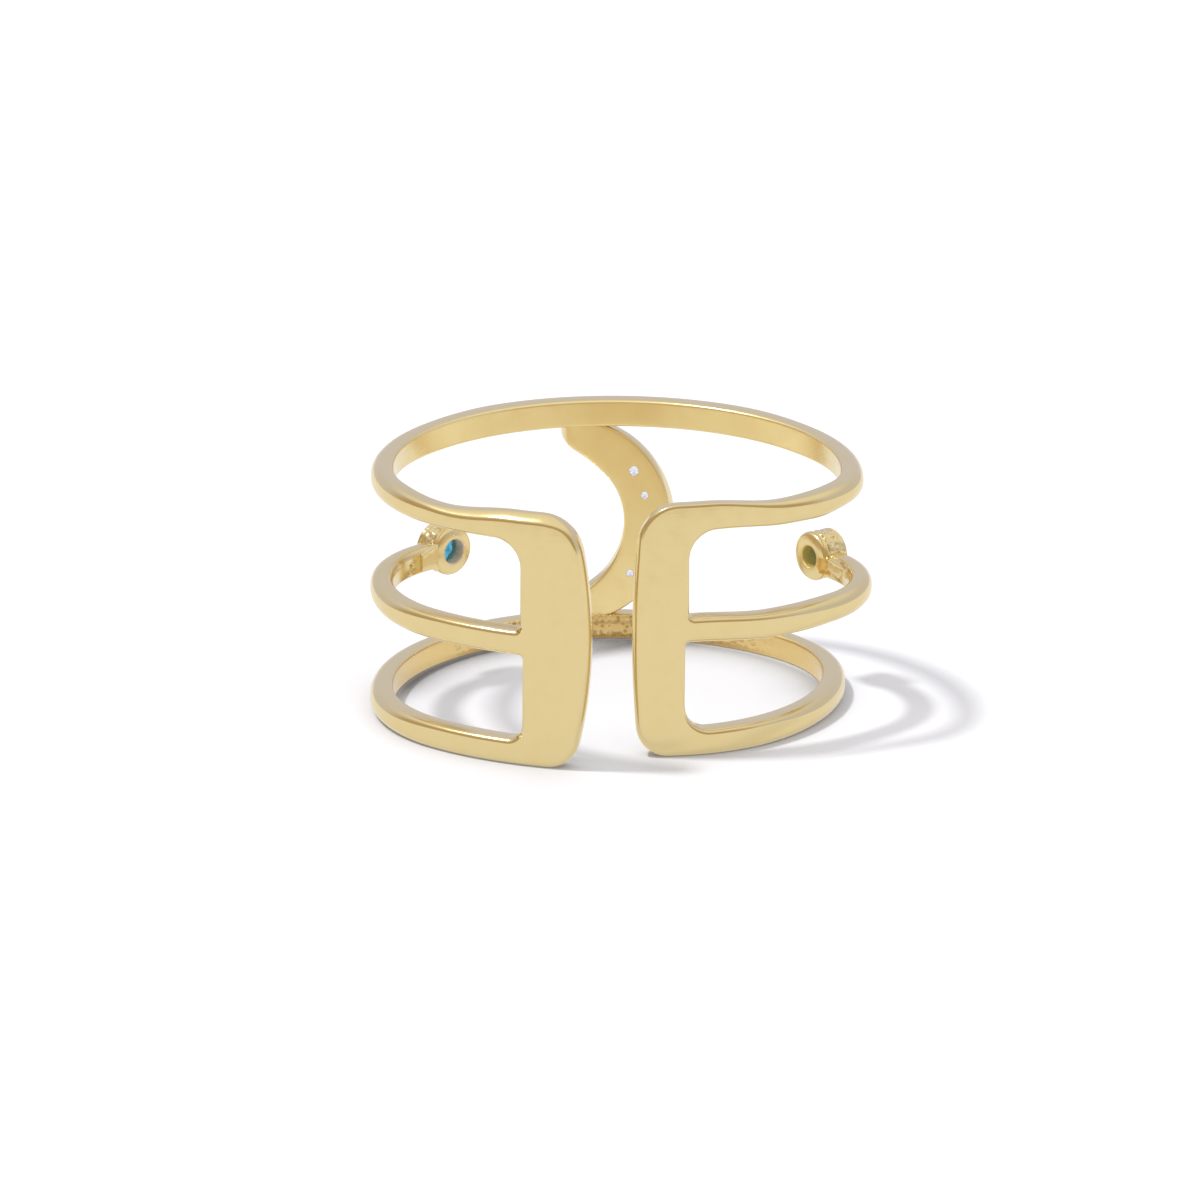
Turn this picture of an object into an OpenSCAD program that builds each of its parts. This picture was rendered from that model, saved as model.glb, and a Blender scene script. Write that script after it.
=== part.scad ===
// Open adjustable ring. Three parallel wires run between two upright end plates.
// A crescent with a row of small stones joins the top and bottom wires at the front,
// and the two free ends of the middle wire carry a round stone cup each.
// Millimetres. The finger axis is Z, the gap between the plates faces -Y, the crescent +Y.
// The ring rests on the rim of its bottom wire at Z = 0.

/* [Ring] */
// Height of the end plates along the finger, and so of the ring
ring_h = 9.88; // [9.8:0.02:10]
// Height of the top wire's upper edge
wires_h = 9.75; // [9.7:0.01:9.8]
// Distance from the axis to the outer face at the front centre
front_y = 9.5; // [9.4:0.05:9.6]
// Radial thickness of the wires
wire_t = 0.88; // [0.8:0.02:1]
// Rounding of the wires' outer edges
wire_edge_r = 0.28; // [0.1:0.02:0.34]
// Height of the top wire's section
top_wire_h = 1; // [0.85:0.05:1.1]
// Height of the middle wire's section
middle_wire_h = 0.98; // [0.9:0.02:1.2]
// Height of the bottom wire's section
bottom_wire_h = 0.95; // [0.85:0.05:1.1]
// Height of the middle wire's centre line
middle_z = 4.84; // [4.7:0.02:5]

/* [Left arm] */
// Radius of the round front stretch
left_front_r = 9.5; // [9.3:0.05:9.7]
// Angle that the front stretch covers
left_front_deg = 93; // [88:1:95]
// X of the end plate's centre of curvature
left_plate_x = 0.08; // [0:0.02:0.2]
// Y of that centre
left_plate_y = 3.6; // [3.5:0.02:3.7]
// Outer radius of the end plate
left_plate_r = 11.3; // [11.2:0.05:11.4]
// X of the plate's edge along its upper and lower window
left_window_x = [-3.66, -3.6]; // [-4:0.02:-3.3]
// X of the plate's free edge at its widest
left_gap_x = -0.97; // [-1.2:0.01:-0.8]
// Radius of the free edge's gentle bow
left_bow_r = 15; // [12:1:60]
// Radius at which the middle wire's free end curls in
left_curl_r = 5.4; // [5:0.1:6]
// Angle of that curl
left_curl_deg = 50; // [44:1:54]
// Straight neck from the curl to the centre of the stone cup
left_neck = 1; // [0.8:0.05:1.2]

/* [Right arm] */
// The right arm is described as seen in a mirror, so that its X runs the other way.
// Top wire, radius of the front stretch
right_top_front_r = 9.34; // [9.28:0.02:9.4]
// Top wire, angle of the front stretch
right_top_front_deg = 93; // [92:0.5:94]
// Top wire, radius of the side stretch
right_top_side_r = 4.2; // [4.1:0.05:4.3]
// Top wire, angle of the side stretch
right_top_side_deg = 46.5; // [46:0.5:47.5]
// Middle wire, radius of the front stretch
right_middle_front_r = 9.8; // [9.74:0.02:9.86]
// Middle wire, angle of the front stretch
right_middle_front_deg = 81.5; // [80.5:0.5:82.5]
// Middle wire, radius of the side stretch
right_middle_side_r = 4.3; // [4.2:0.05:4.4]
// Middle wire, angle of the side stretch
right_middle_side_deg = 49; // [48:0.5:50]
// Bottom wire, radius of the front stretch
right_bottom_front_r = 9.94; // [9.88:0.02:10]
// Bottom wire, angle of the front stretch
right_bottom_front_deg = 43; // [42:0.5:44]
// Bottom wire, radius of the side stretch
right_bottom_side_r = 6.4; // [6.3:0.05:6.5]
// Bottom wire, angle of the side stretch
right_bottom_side_deg = 43.5; // [42.5:0.5:44.5]
// X of the end plate's centre of curvature
right_plate_x = -1.3; // [-1.4:0.02:-1.2]
// Y of that centre
right_plate_y = 1.14; // [1.06:0.02:1.22]
// Outer radius of the end plate
right_plate_r = 7.1; // [7:0.05:7.2]
// X of the plate's edge along its upper and lower window
right_window_x = [-2.72, -2.58]; // [-3:0.02:-2.4]
// X of the plate's free edge at its widest
right_gap_x = -0.5; // [-0.8:0.01:-0.4]
// Radius of the free edge's gentle bow
right_bow_r = 40; // [20:1:60]
// Radius at which the middle wire's free end curls in
right_curl_r = 4.3; // [4:0.1:4.6]
// Angle of that curl
right_curl_deg = 29.5; // [26:0.5:33]
// Straight neck from the curl to the centre of the stone cup
right_neck = 0.85; // [0.7:0.05:1]

/* [End plates] */
// Radius of the plates' top corners
plate_top_r = 1.7; // [1.4:0.05:1.8]
// Radius of the plates' bottom corners
plate_bottom_r = 1.25; // [1:0.05:1.5]
// Radius where the top, middle and bottom wire run into the left plate
left_window_r = [0.95, 0.2, 0.6]; // [0.2:0.05:1.2]
// Radius where the top, middle and bottom wire run into the right plate
right_window_r = [1.15, 0.2, 0.85]; // [0.2:0.05:1.2]

/* [Crescent] */
// Height of the crescent's middle
moon_z = 4.78; // [4.74:0.02:4.86]
// Radius of its outer edge
moon_outer_r = 4.07; // [4:0.01:4.2]
// X of that edge's centre
moon_outer_x = -1.93; // [-1.95:0.01:-1.8]
// Radius of its hollow edge
moon_inner_r = 3.15; // [3.1:0.01:3.2]
// X of the hollow edge's centre
moon_inner_x = -2.92; // [-2.95:0.01:-2.9]
// Angle at which the hollow edge leaves its circle and runs straight to a horn
horn_deg = 52.5; // [50:0.5:55]
// Rounding of the horn tips
horn_r = 0.3; // [0.25:0.01:0.34]
// X of the horn tips
horn_x = -2.31; // [-2.35:0.01:-2.25]
// Diameter of the small stones
moon_stone_d = 0.9; // [0.8:0.02:0.94]
// Radius of the arc that they lie on
moon_row_r = 3.2; // [3.15:0.01:3.25]
// X of that arc's centre
moon_row_x = -1.98; // [-2:0.01:-1.9]
// Angle from one stone to the next
moon_row_step = 19.5; // [19:0.1:20]
// Diameter of the drilled holes behind the stones
moon_hole_d = 0.3; // [0.28:0.02:0.4]

/* [Stone cups] */
// Outer diameter of a cup
cup_d = 1.84; // [1.76:0.02:1.9]
// Length of a cup
cup_l = 1.2; // [1.06:0.02:1.3]
// Height of the left and the right cup's centre
cup_z = [5.02, 5.08]; // [4.9:0.02:5.1]
// Diameter of the open back
cup_hole_d = 0.96; // [0.9:0.02:1]
// Diameter of a side stone
side_stone_d = 1.44; // [1.36:0.02:1.46]

/* [Hidden] */
$fn = 96;

gold = [0.88, 0.75, 0.45];
blue = [0.1, 0.4, 0.62];
white = [0.93, 0.95, 0.98];

// Number of stones set in the crescent
moon_stones = 5;

// Each stone keeps this clearance to its seat
seat_gap = 0.02;
// The plates stand proud of the wires by this much on both faces
plate_proud = 0.02;
// The crescent lies inside the front wires' section by this much
moon_inset = 0.06;
// How far one body reaches into the next that it is soldered to
bite = 0.3;
// Two stretches of one wire overlap by this much each, and one is this much slimmer all round
lap = 0.15;
lap_step = 0.01;
// Longer than the ring in any direction
far = 30;
// Bores and holes are cut this far past the metal
clear_cut = 1;
// The walls that the plates are cut from turn this much further than the plates
plate_spare_deg = 10;
// Half the width of the wall that the crescent is cut from
moon_reach = 3;

// Cut of every stone, as shares of its diameter
table_share = 0.56;
crown_share = 0.15;
girdle_share = 0.03;
pavilion_share = 0.42;
culet_share = 0.04;
culet_h = 0.01;
// The stones' tables lie this far below the rim of their seats
table_sink = 0.02;

// Unit vector at an angle from +X
function dir(a) = [cos(a), sin(a)];
function angle_of(v) = (atan2(v.y, v.x) + 360) % 360;

// An arc is [centre, outer radius, start angle, end angle], angles from +X, turning left
function first_arc(r, deg) = [[0, front_y - r], r, 90, 90 + deg];
function next_arc(a, r, deg) = [a[0] + dir(a[3]) * (a[1] - r), r, a[3], a[3] + deg];
function arc_end(a) = a[0] + dir(a[3]) * a[1];

// The arc that leaves the end of a and runs into the circle [c, r] without a kink
function join_arc(a, c, r) =
  let (p = arc_end(a),
       n = -dir(a[3]),
       d = p - c,
       jr = (r * r - d * d) / (2 * (r + n * d)),
       jc = p + n * jr,
       to = jr > r ? c - jc : jc - c)
  [jc, jr, a[3], angle_of(to)];

// From the end of arc a round the plate's circle to the plate's window edge
function plate_run(a, c, r, x) = [c, r, a[3], plate_deg(c, r, x)];
// Angle on a plate's circle at which its outer face has this X
function plate_deg(c, r, x) = 360 - acos((x - c.x) / r);

// The arc that the middle wire's free end curls along, met from its front end
function curl_arc(a, r, deg) =
  [a[0] + dir(a[3]) * (a[1] - r), r, a[3] - deg, a[3]];

left_plate_c = [left_plate_x, left_plate_y];
right_plate_c = [right_plate_x, right_plate_y];
left_front = first_arc(left_front_r, left_front_deg);
left_join = join_arc(left_front, left_plate_c, left_plate_r);
left_last = plate_run(left_join, left_plate_c, left_plate_r, left_window_x[1] + bite);
left_curl = curl_arc(left_front, left_curl_r, left_curl_deg);

// The four stretches of a right-hand wire
function right_path(front_r, front_deg, side_r, side_deg) =
  let (f = first_arc(front_r, front_deg),
       s = next_arc(f, side_r, side_deg),
       j = join_arc(s, right_plate_c, right_plate_r))
  [f, s, j, plate_run(j, right_plate_c, right_plate_r, right_window_x[1] + bite)];
right_top = right_path(right_top_front_r, right_top_front_deg,
                       right_top_side_r, right_top_side_deg);
right_middle = right_path(right_middle_front_r, right_middle_front_deg,
                          right_middle_side_r, right_middle_side_deg);
right_bottom = right_path(right_bottom_front_r, right_bottom_front_deg,
                          right_bottom_side_r, right_bottom_side_deg);
right_curl = curl_arc(right_middle[0], right_curl_r, right_curl_deg);

// Section of a wire: flat inside, rounded edges outside; X = 0 is the outer face.
// A slim section is a hair smaller all round, so that it slides into a full one.
module wire_section(h, slim) {
  s = slim ? lap_step : 0;
  r = wire_edge_r;
  translate([s - wire_t, s]) square([wire_t - r - s, h - 2 * s]);
  translate([s - wire_t, r + s]) square([wire_t - 2 * s, h - 2 * r - 2 * s]);
  for (z = [r + s, h - r - s])
    translate([-r - s, z]) circle(r);
}

// One curved stretch of wire, a little longer than its arc at both ends
module wire_arc(a, h, slim) {
  more = asin(lap / a[1]);
  translate(a[0])
    rotate_extrude(angle = a[3] - a[2] + 2 * more, start = a[2] - more)
      translate([a[1], 0]) wire_section(h, slim);
}

// A run of stretches, slim and full in turn
module wire(arcs, h, slim) {
  for (i = [0 : len(arcs) - 1])
    wire_arc(arcs[i], h, i % 2 == 0 ? slim : !slim);
}

// The straight neck of a middle wire, from the curl's front end into the cup
module neck(a, length, slim) {
  translate(a[0]) rotate(a[2]) translate([a[1], lap, 0])
    rotate([90, 0, 0]) linear_extrude(length + lap) wire_section(middle_wire_h, slim);
}

module top_wire() {
  color(gold) translate([0, 0, wires_h - top_wire_h]) {
    wire([left_front, left_join, left_last], top_wire_h, true);
    mirror([1, 0, 0]) wire(right_top, top_wire_h, false);
  }
}

module bottom_wire() {
  color(gold) {
    wire([left_front, left_join, left_last], bottom_wire_h, true);
    mirror([1, 0, 0]) wire(right_bottom, bottom_wire_h, false);
  }
}

module middle_wires() {
  color(gold) translate([0, 0, middle_z - middle_wire_h / 2]) {
    wire([left_curl, left_join, left_last], middle_wire_h, true);
    neck(left_curl, left_neck, false);
    mirror([1, 0, 0]) {
      wire([right_curl, right_middle[1], right_middle[2], right_middle[3]],
           middle_wire_h, false);
      neck(right_curl, right_neck, true);
    }
  }
}

// Points of an arc, for outlines
function arc_points(c, r, a0, a1, n) =
  [for (i = [0 : n]) c + r * dir(a0 + (a1 - a0) * i / n)];

// Centre of a plate's corner of radius r at height z, so that it runs into the bowed free edge
function corner_c(r, z, gap_x, bow_r) =
  [gap_x - bow_r + sqrt(pow(bow_r - r, 2) - pow(z - ring_h / 2, 2)), z];
// Direction from the bow's centre to a corner's centre
function bow_deg(c, gap_x, bow_r) = atan2(c.y - ring_h / 2, c.x - gap_x + bow_r);

// A window's side on a plate: from the web in the wire above, round both corners, to the wire below
function window_side(x, z_top, z_bottom, r_top, r_bottom) = concat(
  [[x, z_top + bite], [x - r_top, z_top + bite]],
  arc_points([x - r_top, z_top - r_top], r_top, 90, 0, 10),
  arc_points([x - r_bottom, z_bottom + r_bottom], r_bottom, 0, -90, 10),
  [[x - r_bottom, z_bottom - bite], [x, z_bottom - bite]]);

// Outline of an end plate seen square on, X and Z
function plate_outline(window_x, window_r, gap_x, bow_r) =
  let (top_c = corner_c(plate_top_r, ring_h - plate_top_r, gap_x, bow_r),
       bottom_c = corner_c(plate_bottom_r, plate_bottom_r, gap_x, bow_r),
       top_deg = bow_deg(top_c, gap_x, bow_r),
       bottom_deg = bow_deg(bottom_c, gap_x, bow_r))
  concat(
    [[window_x[0], ring_h]],
    window_side(window_x[0], wires_h - top_wire_h, middle_z + middle_wire_h / 2,
                window_r[0], window_r[1]),
    window_side(window_x[1], middle_z - middle_wire_h / 2, bottom_wire_h,
                window_r[1], window_r[2]),
    [[window_x[1], 0]],
    arc_points(bottom_c, plate_bottom_r, -90, bottom_deg, 14),
    arc_points([gap_x - bow_r, ring_h / 2], bow_r, bottom_deg, top_deg, 12),
    arc_points(top_c, plate_top_r, top_deg, 90, 14));

// One end plate: a curved wall cut to the outline
module end_plate(c, r, window_x, window_r, gap_x, bow_r) {
  start = plate_deg(c, r, window_x[0] - 2 * window_r[0]);
  color(gold) intersection() {
    translate(c)
      rotate_extrude(angle = plate_deg(c, r, gap_x) + plate_spare_deg - start, start = start)
        translate([r - wire_t - plate_proud, 0])
          square([wire_t + 2 * plate_proud, ring_h]);
    rotate([90, 0, 0]) linear_extrude(far)
      polygon(plate_outline(window_x, window_r, gap_x, bow_r));
  }
}

// Upper half of the crescent's outline, from the middle of its outer edge to that of its hollow
function moon_half() =
  let (outer_c = [moon_outer_x, moon_z],
       inner_c = [moon_inner_x, moon_z],
       root_z = wires_h - top_wire_h + bite,
       rise = (wires_h - top_wire_h + moon_inset - moon_z) / moon_outer_r,
       outer_deg = asin(min(1, rise)),
       leave = inner_c + moon_inner_r * dir(horn_deg),
       tip_x = horn_x + horn_r,
       tip_z = leave.y + (horn_r - (tip_x - leave.x) * cos(horn_deg)) / sin(horn_deg))
  concat(
    arc_points(outer_c, moon_outer_r, 0, outer_deg, 20),
    [[moon_outer_x + moon_outer_r * cos(outer_deg), root_z], [horn_x, root_z]],
    arc_points([tip_x, tip_z], horn_r, 180, 180 + horn_deg, 6),
    arc_points(inner_c, moon_inner_r, horn_deg, 0, 16));
function upside_down(points) =
  [for (i = [len(points) - 1 : -1 : 0]) [points[i].x, 2 * moon_z - points[i].y]];

module crescent() {
  deg = asin(moon_reach / front_y);
  color(gold) intersection() {
    rotate_extrude(angle = 2 * deg, start = 90 - deg)
      translate([front_y - wire_t + moon_inset, 0])
        square([wire_t - 2 * moon_inset, ring_h]);
    translate([0, far, 0]) rotate([90, 0, 0]) linear_extrude(far)
      polygon(concat(moon_half(), upside_down(moon_half())));
  }
}

// Middle of the front face of moon stone i, counted from the top; local Z points out of the ring
module at_moon_stone(i) {
  a = moon_row_step * ((moon_stones - 1) / 2 - i);
  x = moon_row_x + moon_row_r * cos(a);
  r = front_y - moon_inset;
  rotate(-asin(x / r)) translate([0, r, moon_z + moon_row_r * sin(a)])
    rotate([-90, 0, 0]) children();
}

// Middle of a cup's front face at the free end of a middle wire; local Z points out of the ring
module at_cup(curl, length, z) {
  translate(curl[0]) rotate(curl[2])
    translate([curl[1] + (cup_l - wire_t) / 2, -length, z])
      rotate([0, 90, 0]) children();
}
module at_left_cup() {
  at_cup(left_curl, left_neck, cup_z[0]) children();
}
module at_right_cup() {
  mirror([1, 0, 0]) at_cup(right_curl, right_neck, cup_z[1]) children();
}

module cup() {
  color(gold) translate([0, 0, -cup_l]) cylinder(d = cup_d, h = cup_l);
}

// Room for a stone of diameter d: a bore, a cone to the back hole, and that hole
module seat(d, hole_d, depth) {
  bore_h = table_sink + (crown_share + girdle_share) * d + seat_gap;
  r = d / 2 + seat_gap;
  cone_h = (r - hole_d / 2) * pavilion_share / 0.5;
  translate([0, 0, -bore_h]) cylinder(r = r, h = bore_h + clear_cut);
  translate([0, 0, -bore_h - cone_h]) cylinder(r1 = hole_d / 2, r2 = r, h = cone_h);
  translate([0, 0, -depth]) cylinder(d = hole_d, h = depth);
}

// A round stone with an eight-sided table, a sixteen-sided girdle and a pointed pavilion
module cut_stone(d) {
  girdle_top = -table_sink - crown_share * d;
  translate([0, 0, girdle_top]) hull() {
    cylinder(d = table_share * d, h = crown_share * d, $fn = 8);
    translate([0, 0, -girdle_share * d]) cylinder(d = d, h = girdle_share * d, $fn = 16);
    translate([0, 0, -(girdle_share + pavilion_share) * d])
      cylinder(d = culet_share * d, h = culet_h, $fn = 8);
  }
}

module side_stone() { color(blue) cut_stone(side_stone_d); }
module moon_stone(i) { color(white) at_moon_stone(i) cut_stone(moon_stone_d); }

module band() {
  difference() {
    union() {
      top_wire();
      bottom_wire();
      middle_wires();
      end_plate(left_plate_c, left_plate_r, left_window_x, left_window_r,
                left_gap_x, left_bow_r);
      mirror([1, 0, 0])
        end_plate(right_plate_c, right_plate_r, right_window_x, right_window_r,
                  right_gap_x, right_bow_r);
      crescent();
      at_left_cup() cup();
      at_right_cup() cup();
    }
    at_left_cup() seat(side_stone_d, cup_hole_d, cup_l + clear_cut);
    at_right_cup() seat(side_stone_d, cup_hole_d, cup_l + clear_cut);
    for (i = [0 : moon_stones - 1])
      at_moon_stone(i) seat(moon_stone_d, moon_hole_d, wire_t + clear_cut);
  }
}

band();
at_left_cup() side_stone();  // side_stone_left
at_right_cup() side_stone();  // side_stone_right
moon_stone(0);  // moon_stone_1
moon_stone(1);  // moon_stone_2
moon_stone(2);  // moon_stone_3
moon_stone(3);  // moon_stone_4
moon_stone(4);  // moon_stone_5
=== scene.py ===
"""Open adjustable ring: a band of wires and end plates, a crescent, stone cups and cut stones."""

import math
from types import SimpleNamespace

import bmesh
import bpy
import numpy as np
from bpy.props import FloatProperty, FloatVectorProperty, IntProperty, PointerProperty
from mathutils import Matrix, Vector
from mathutils.geometry import delaunay_2d_cdt


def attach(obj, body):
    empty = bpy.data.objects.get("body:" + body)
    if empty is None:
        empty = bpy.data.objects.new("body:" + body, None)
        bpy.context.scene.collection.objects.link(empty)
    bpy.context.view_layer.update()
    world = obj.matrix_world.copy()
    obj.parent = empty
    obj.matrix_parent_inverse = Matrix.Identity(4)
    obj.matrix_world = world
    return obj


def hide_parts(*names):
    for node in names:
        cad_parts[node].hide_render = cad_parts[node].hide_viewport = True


bl_info = {
    "name": "Adjustable Ring",
    "version": (1, 0, 0),
    "blender": (4, 5, 0),
    "location": "3D View > Sidebar > Ring",
    "description": "Builds an open adjustable ring with a crescent and stone cups",
    "category": "Add Mesh",
}

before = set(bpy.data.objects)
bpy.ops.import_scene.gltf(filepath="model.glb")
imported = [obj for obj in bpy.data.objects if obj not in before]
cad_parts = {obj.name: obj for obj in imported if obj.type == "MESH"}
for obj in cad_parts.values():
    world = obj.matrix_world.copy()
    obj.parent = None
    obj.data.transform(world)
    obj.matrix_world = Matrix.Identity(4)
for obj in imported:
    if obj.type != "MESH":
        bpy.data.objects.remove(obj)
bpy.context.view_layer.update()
MM = 0.001
BLACK = (0.0, 0.0, 0.0)

# Places along the unrolled band, in millimetres from the front: where a change starts, and
# over what distance it comes about. The leans also have such a pair for the height.
SIDE_STARTS, SIDE_ENDS = (5.0, 4.0), (17.0, 4.5)
FAR_STARTS, FAR_ENDS = (8.6, 2.0), (15.5, 3.0)
DROP_STARTS, DROP_ENDS = (17.0, 2.0), (20.4, 2.4)
CUP_LIFT_ENDS, ARM_TOP, FREE_EDGE = (13.5, 5.0), (20.0, 3.0), 25.0
LEFT_LEAN, LEFT_LEAN_HEIGHT = (14.0, 3.0), (8.5, 1.3)
RIGHT_LEAN, RIGHT_LEAN_HEIGHT = (18.3, 3.5), (5.6, 4.2)
PLATE_LIFT_FROM, PLATE_LIFT_REACH = 3.8, 3.3  # before the lower window's edge

# At the cups, in millimetres: corners of the flat webs, as (along the neck, up) from the cup's
# centre; file cuts as (along the neck, low end, high end, depth); beads as (along, up).
WEBS = {-1: [(0.8, -0.5), (1.66, -0.48), (1.66, 0.18), (0.8, 0.45)],
        1: [(0.88, -0.18), (1.8, -0.45), (2.2, 0.09), (1.17, 0.21)]}
FILE_CUTS = {-1: (1.9, -0.5, 0.2, 0.14), 1: (0.87, -0.52, 0.12, 0.17)}
BEADS = ((2.18, -0.12), (2.36, -0.4))
STONE_GAP, SEAT_RIM, SEAT_DEPTH = 0.02, 0.04, 0.18  # the last one is a share of the stone's size

# Shares of a cut stone's size, and of its radius or its lower depth.
CROWN, GIRDLE = 0.15, 0.03
TABLE, STARS, MAINS = 0.56, 0.8, 0.62

# Limits of the gold's pattern, in metres: none at the first, full at the second.
LOW, INSIDE, BACK, SATIN = (0.0011, 0.0009), (0.0088, 0.0086), (0.005, 0.0075), (0.0015, 0.006)
WORN_FOOT, HOLLOW_LINE, LINE_HEIGHT = (0.00042, 0.0003), (0.0001, 0.00004), 0.00066


# ---------------------------------------------------------------- sizes and colours


def setting(name, text, values, **options):
    """A property with one number, or with one for each part that its text lists."""
    options.update(name=name, description=text)
    if len(values) > 1:
        return FloatVectorProperty(default=values, size=len(values), **options)
    return FloatProperty(default=values[0], **options)


def length(name, text, *sizes):
    """Sizes given in millimetres and kept in metres."""
    return setting(name, text, [size * MM for size in sizes], unit="LENGTH", precision=5)


def angle(name, text, *turns):
    """Angles given in degrees and kept in radians."""
    return setting(name, text, [math.radians(turn) for turn in turns], unit="ROTATION")


def share(name, text, default):
    """A number from 0 to 1."""
    return setting(name, text, [default], min=0.0, max=1.0, subtype="FACTOR")


def colour(name, text, *default):
    """A linear colour."""
    return setting(name, text, default, min=0.0, max=1.0, subtype="COLOR")


def number(name, text, *default):
    """A plain number."""
    return setting(name, text, default)


class WireSettings(bpy.types.PropertyGroup):
    """Sections of the three wires and the courses that they run along."""
    thickness: length("Thickness", "Radial thickness of the wires", 0.88)
    outer_round: length("Outer Rounding", "Rounding of the outer edges", 0.2)
    low_round: length("Lower Rounding", "Extra rounding of the lower outer edges", 0.1)
    free_slant: length("Free Slant", "Further rounding of the left plate's free edge", 0.5)
    free_round: length("Free Edge Rounding", "Extra rounding of the plates' free edges", 0.12)
    side_round: length("Side Rounding", "Extra rounding at the ring's sides", 0.15)
    side_dome: length("Side Dome", "Extra rounding of the upper faces at the sides", 0.15)
    left_dome: length("Left Dome", "Extra rounding on the top of the left arm", 0.65)
    lean: length("Lean", "How far the arms' tops lean inwards: left, right", 0.1, 0.36)
    inner_round: length("Inner Rounding", "Rounding of the edges against the finger", 0.12)
    top_edge: length("Top Edge", "Height of the top wire's upper edge", 9.75)
    top_height: length("Top Wire", "Height of the top wire's section near the plates", 0.92)
    top_rise: length("Front Rise", "How much higher the top wire starts at the front", 0.01)
    top_drop: length("Front Drop", "How much deeper the top wire is at the front", 0.13)
    side_drop: length("Side Drop", "How much deeper it is midway: left, right", 0.0, 0.11)
    middle_height: length("Middle Wire", "Height of the middle wire's section", 0.98)
    middle_centre: length("Middle Centre", "Height of the middle wire's centre line", 4.82)
    cup_lift: length("Cup Lift", "Rise of the middle wire to its cup: left, right", 0.17, 0.1)
    plate_lift: length("Plate Lift", "Its rise at the plate: left, right", 0.0, 0.17)
    bottom_height: length("Bottom Wire", "Height of the bottom wire's section", 0.99)
    slim_from: length("Slim From", "Where the top wire starts to slim, from the front", 8.0)
    slim_to: length("Slim To", "Where the top wire is at its slimmest", 16.0)
    front: length("Front", "Distance from the axis to the outer face at the front", 9.5)
    left_radius: length("Left Radius", "Radius of the left arm's front stretch", 9.5)
    left_angle: angle("Left Angle", "Angle of the left arm's front stretch", 93)
    front_radius: length("Front Radius", "Right wires: bottom, middle, top", 9.94, 9.8, 9.34)
    front_angle: angle("Front Angle", "Right wires: bottom, middle, top", 43, 81.5, 93)
    side_radius: length("Side Radius", "Right wires: bottom, middle, top", 6.4, 4.3, 4.2)
    side_angle: angle("Side Angle", "Right wires: bottom, middle, top", 43.5, 49, 46.5)
    curl_radius: length("Curl Radius", "How the free ends curl in: left, right", 5.4, 4.3)
    curl_angle: angle("Curl Angle", "How far the free ends curl in: left, right", 50, 29.5)
    neck: length("Neck", "Straight neck up to the cup's centre: left, right", 1.0, 1.04)
    edge_step: length("Edge Step", "Distance between cross sections along a wire", 0.28)


class PlateSettings(bpy.types.PropertyGroup):
    """The two end plates at the gap, left and right. X is mirrored for the right one."""
    height: length("Height", "Height of the plates, and so of the ring", 9.88)
    top_corner: length("Top Corner", "Radius of the top corners", 1.7)
    bottom_corner: length("Bottom Corner", "Radius of the bottom corners", 1.25)
    centre_x: length("Centre X", "X of the centre of curvature: left, right", 0.08, -1.3)
    centre_y: length("Centre Y", "Y of the centre of curvature: left, right", 3.6, 1.14)
    plate_radius: length("Plate Radius", "Outer radius: left, right", 11.3, 7.1)
    upper_window: length("Upper Window", "X of its edge: left, right", -3.74, -2.72)
    lower_window: length("Lower Window", "X of its edge: left, right", -3.63, -2.58)
    gap: length("Gap Edge", "X of the free edge at its widest: left, right", -1.03, -0.5)
    bow: length("Bow", "Radius of the free edge's bow: left, right", 18.0, 40.0)
    window_top: length("Top Fillet", "Fillet at the top wire: left, right", 1.1, 1.15)
    window_bottom: length("Bottom Fillet", "Fillet at the bottom wire: left, right", 0.6, 1.05)
    window_middle: length("Middle Fillet", "Fillet where the middle wires meet the plates", 0.2)
    dip_from: length("Dip From", "How far the full height runs on along the top wire", 1.2)
    dip_at: length("Dip At", "How far along the top wire its lowest place is", 4.4)
    dip_to: length("Dip To", "How far along the top wire its even height starts", 7.5)
    dip: length("Dip", "How much lower that lowest place is", 0.13)
    notch: length("Notch", "Diameter of the nicks where wires meet the left plate", 0.36)


class CrescentSettings(bpy.types.PropertyGroup):
    """The crescent at the front and its row of small stones."""
    centre: length("Centre", "Height of the crescent's middle", 4.78)
    outer_radius: length("Outer Radius", "Radius of the outer edge", 4.15)
    outer_x: length("Outer X", "X of the outer edge's centre", -1.9)
    hollow_x: length("Hollow X", "X of the hollow edge at its deepest", 0.24)
    hollow_radius: length("Hollow", "Radius of its halves: upper, lower", 2.7, 3.15)
    hollow_angle: angle("Flat Angle", "Where the halves flatten: upper, lower", 47, 52.5)
    hollow_flat: length("Flat", "Radius of the flatter stretch: upper, lower", 9.0, 60.0)
    horn_radius: length("Horn Radius", "Rounding of the horn tips", 0.75)
    horn_x: length("Horn X", "X of the horn tips", -2.31)
    inset: length("Inset", "How far the crescent lies inside the wires' faces", 0.06)
    edge_round: length("Edge Rounding", "Rounding of the crescent's edges", 0.12)
    row_radius: length("Row Radius", "Radius of the arc that the stones lie on", 3.14)
    row_x: length("Row X", "X of that arc's centre", -1.82)
    row_step: angle("Row Step", "Angle from one stone to the next", 21.0)
    top_shift: length("Top Shift", "How far the topmost stone lies outside that arc", 0.13)
    stone_size: length("Stone Size", "Diameter of the small stones", 0.9)
    hole_size: length("Hole Size", "Diameter of the drilled holes behind the stones", 0.3)
    top_hole: length("Top Hole", "Diameter of the topmost drilled hole", 0.4)
    stone_count: IntProperty(name="Stones", description="Number of small stones", default=5, min=1)


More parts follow.
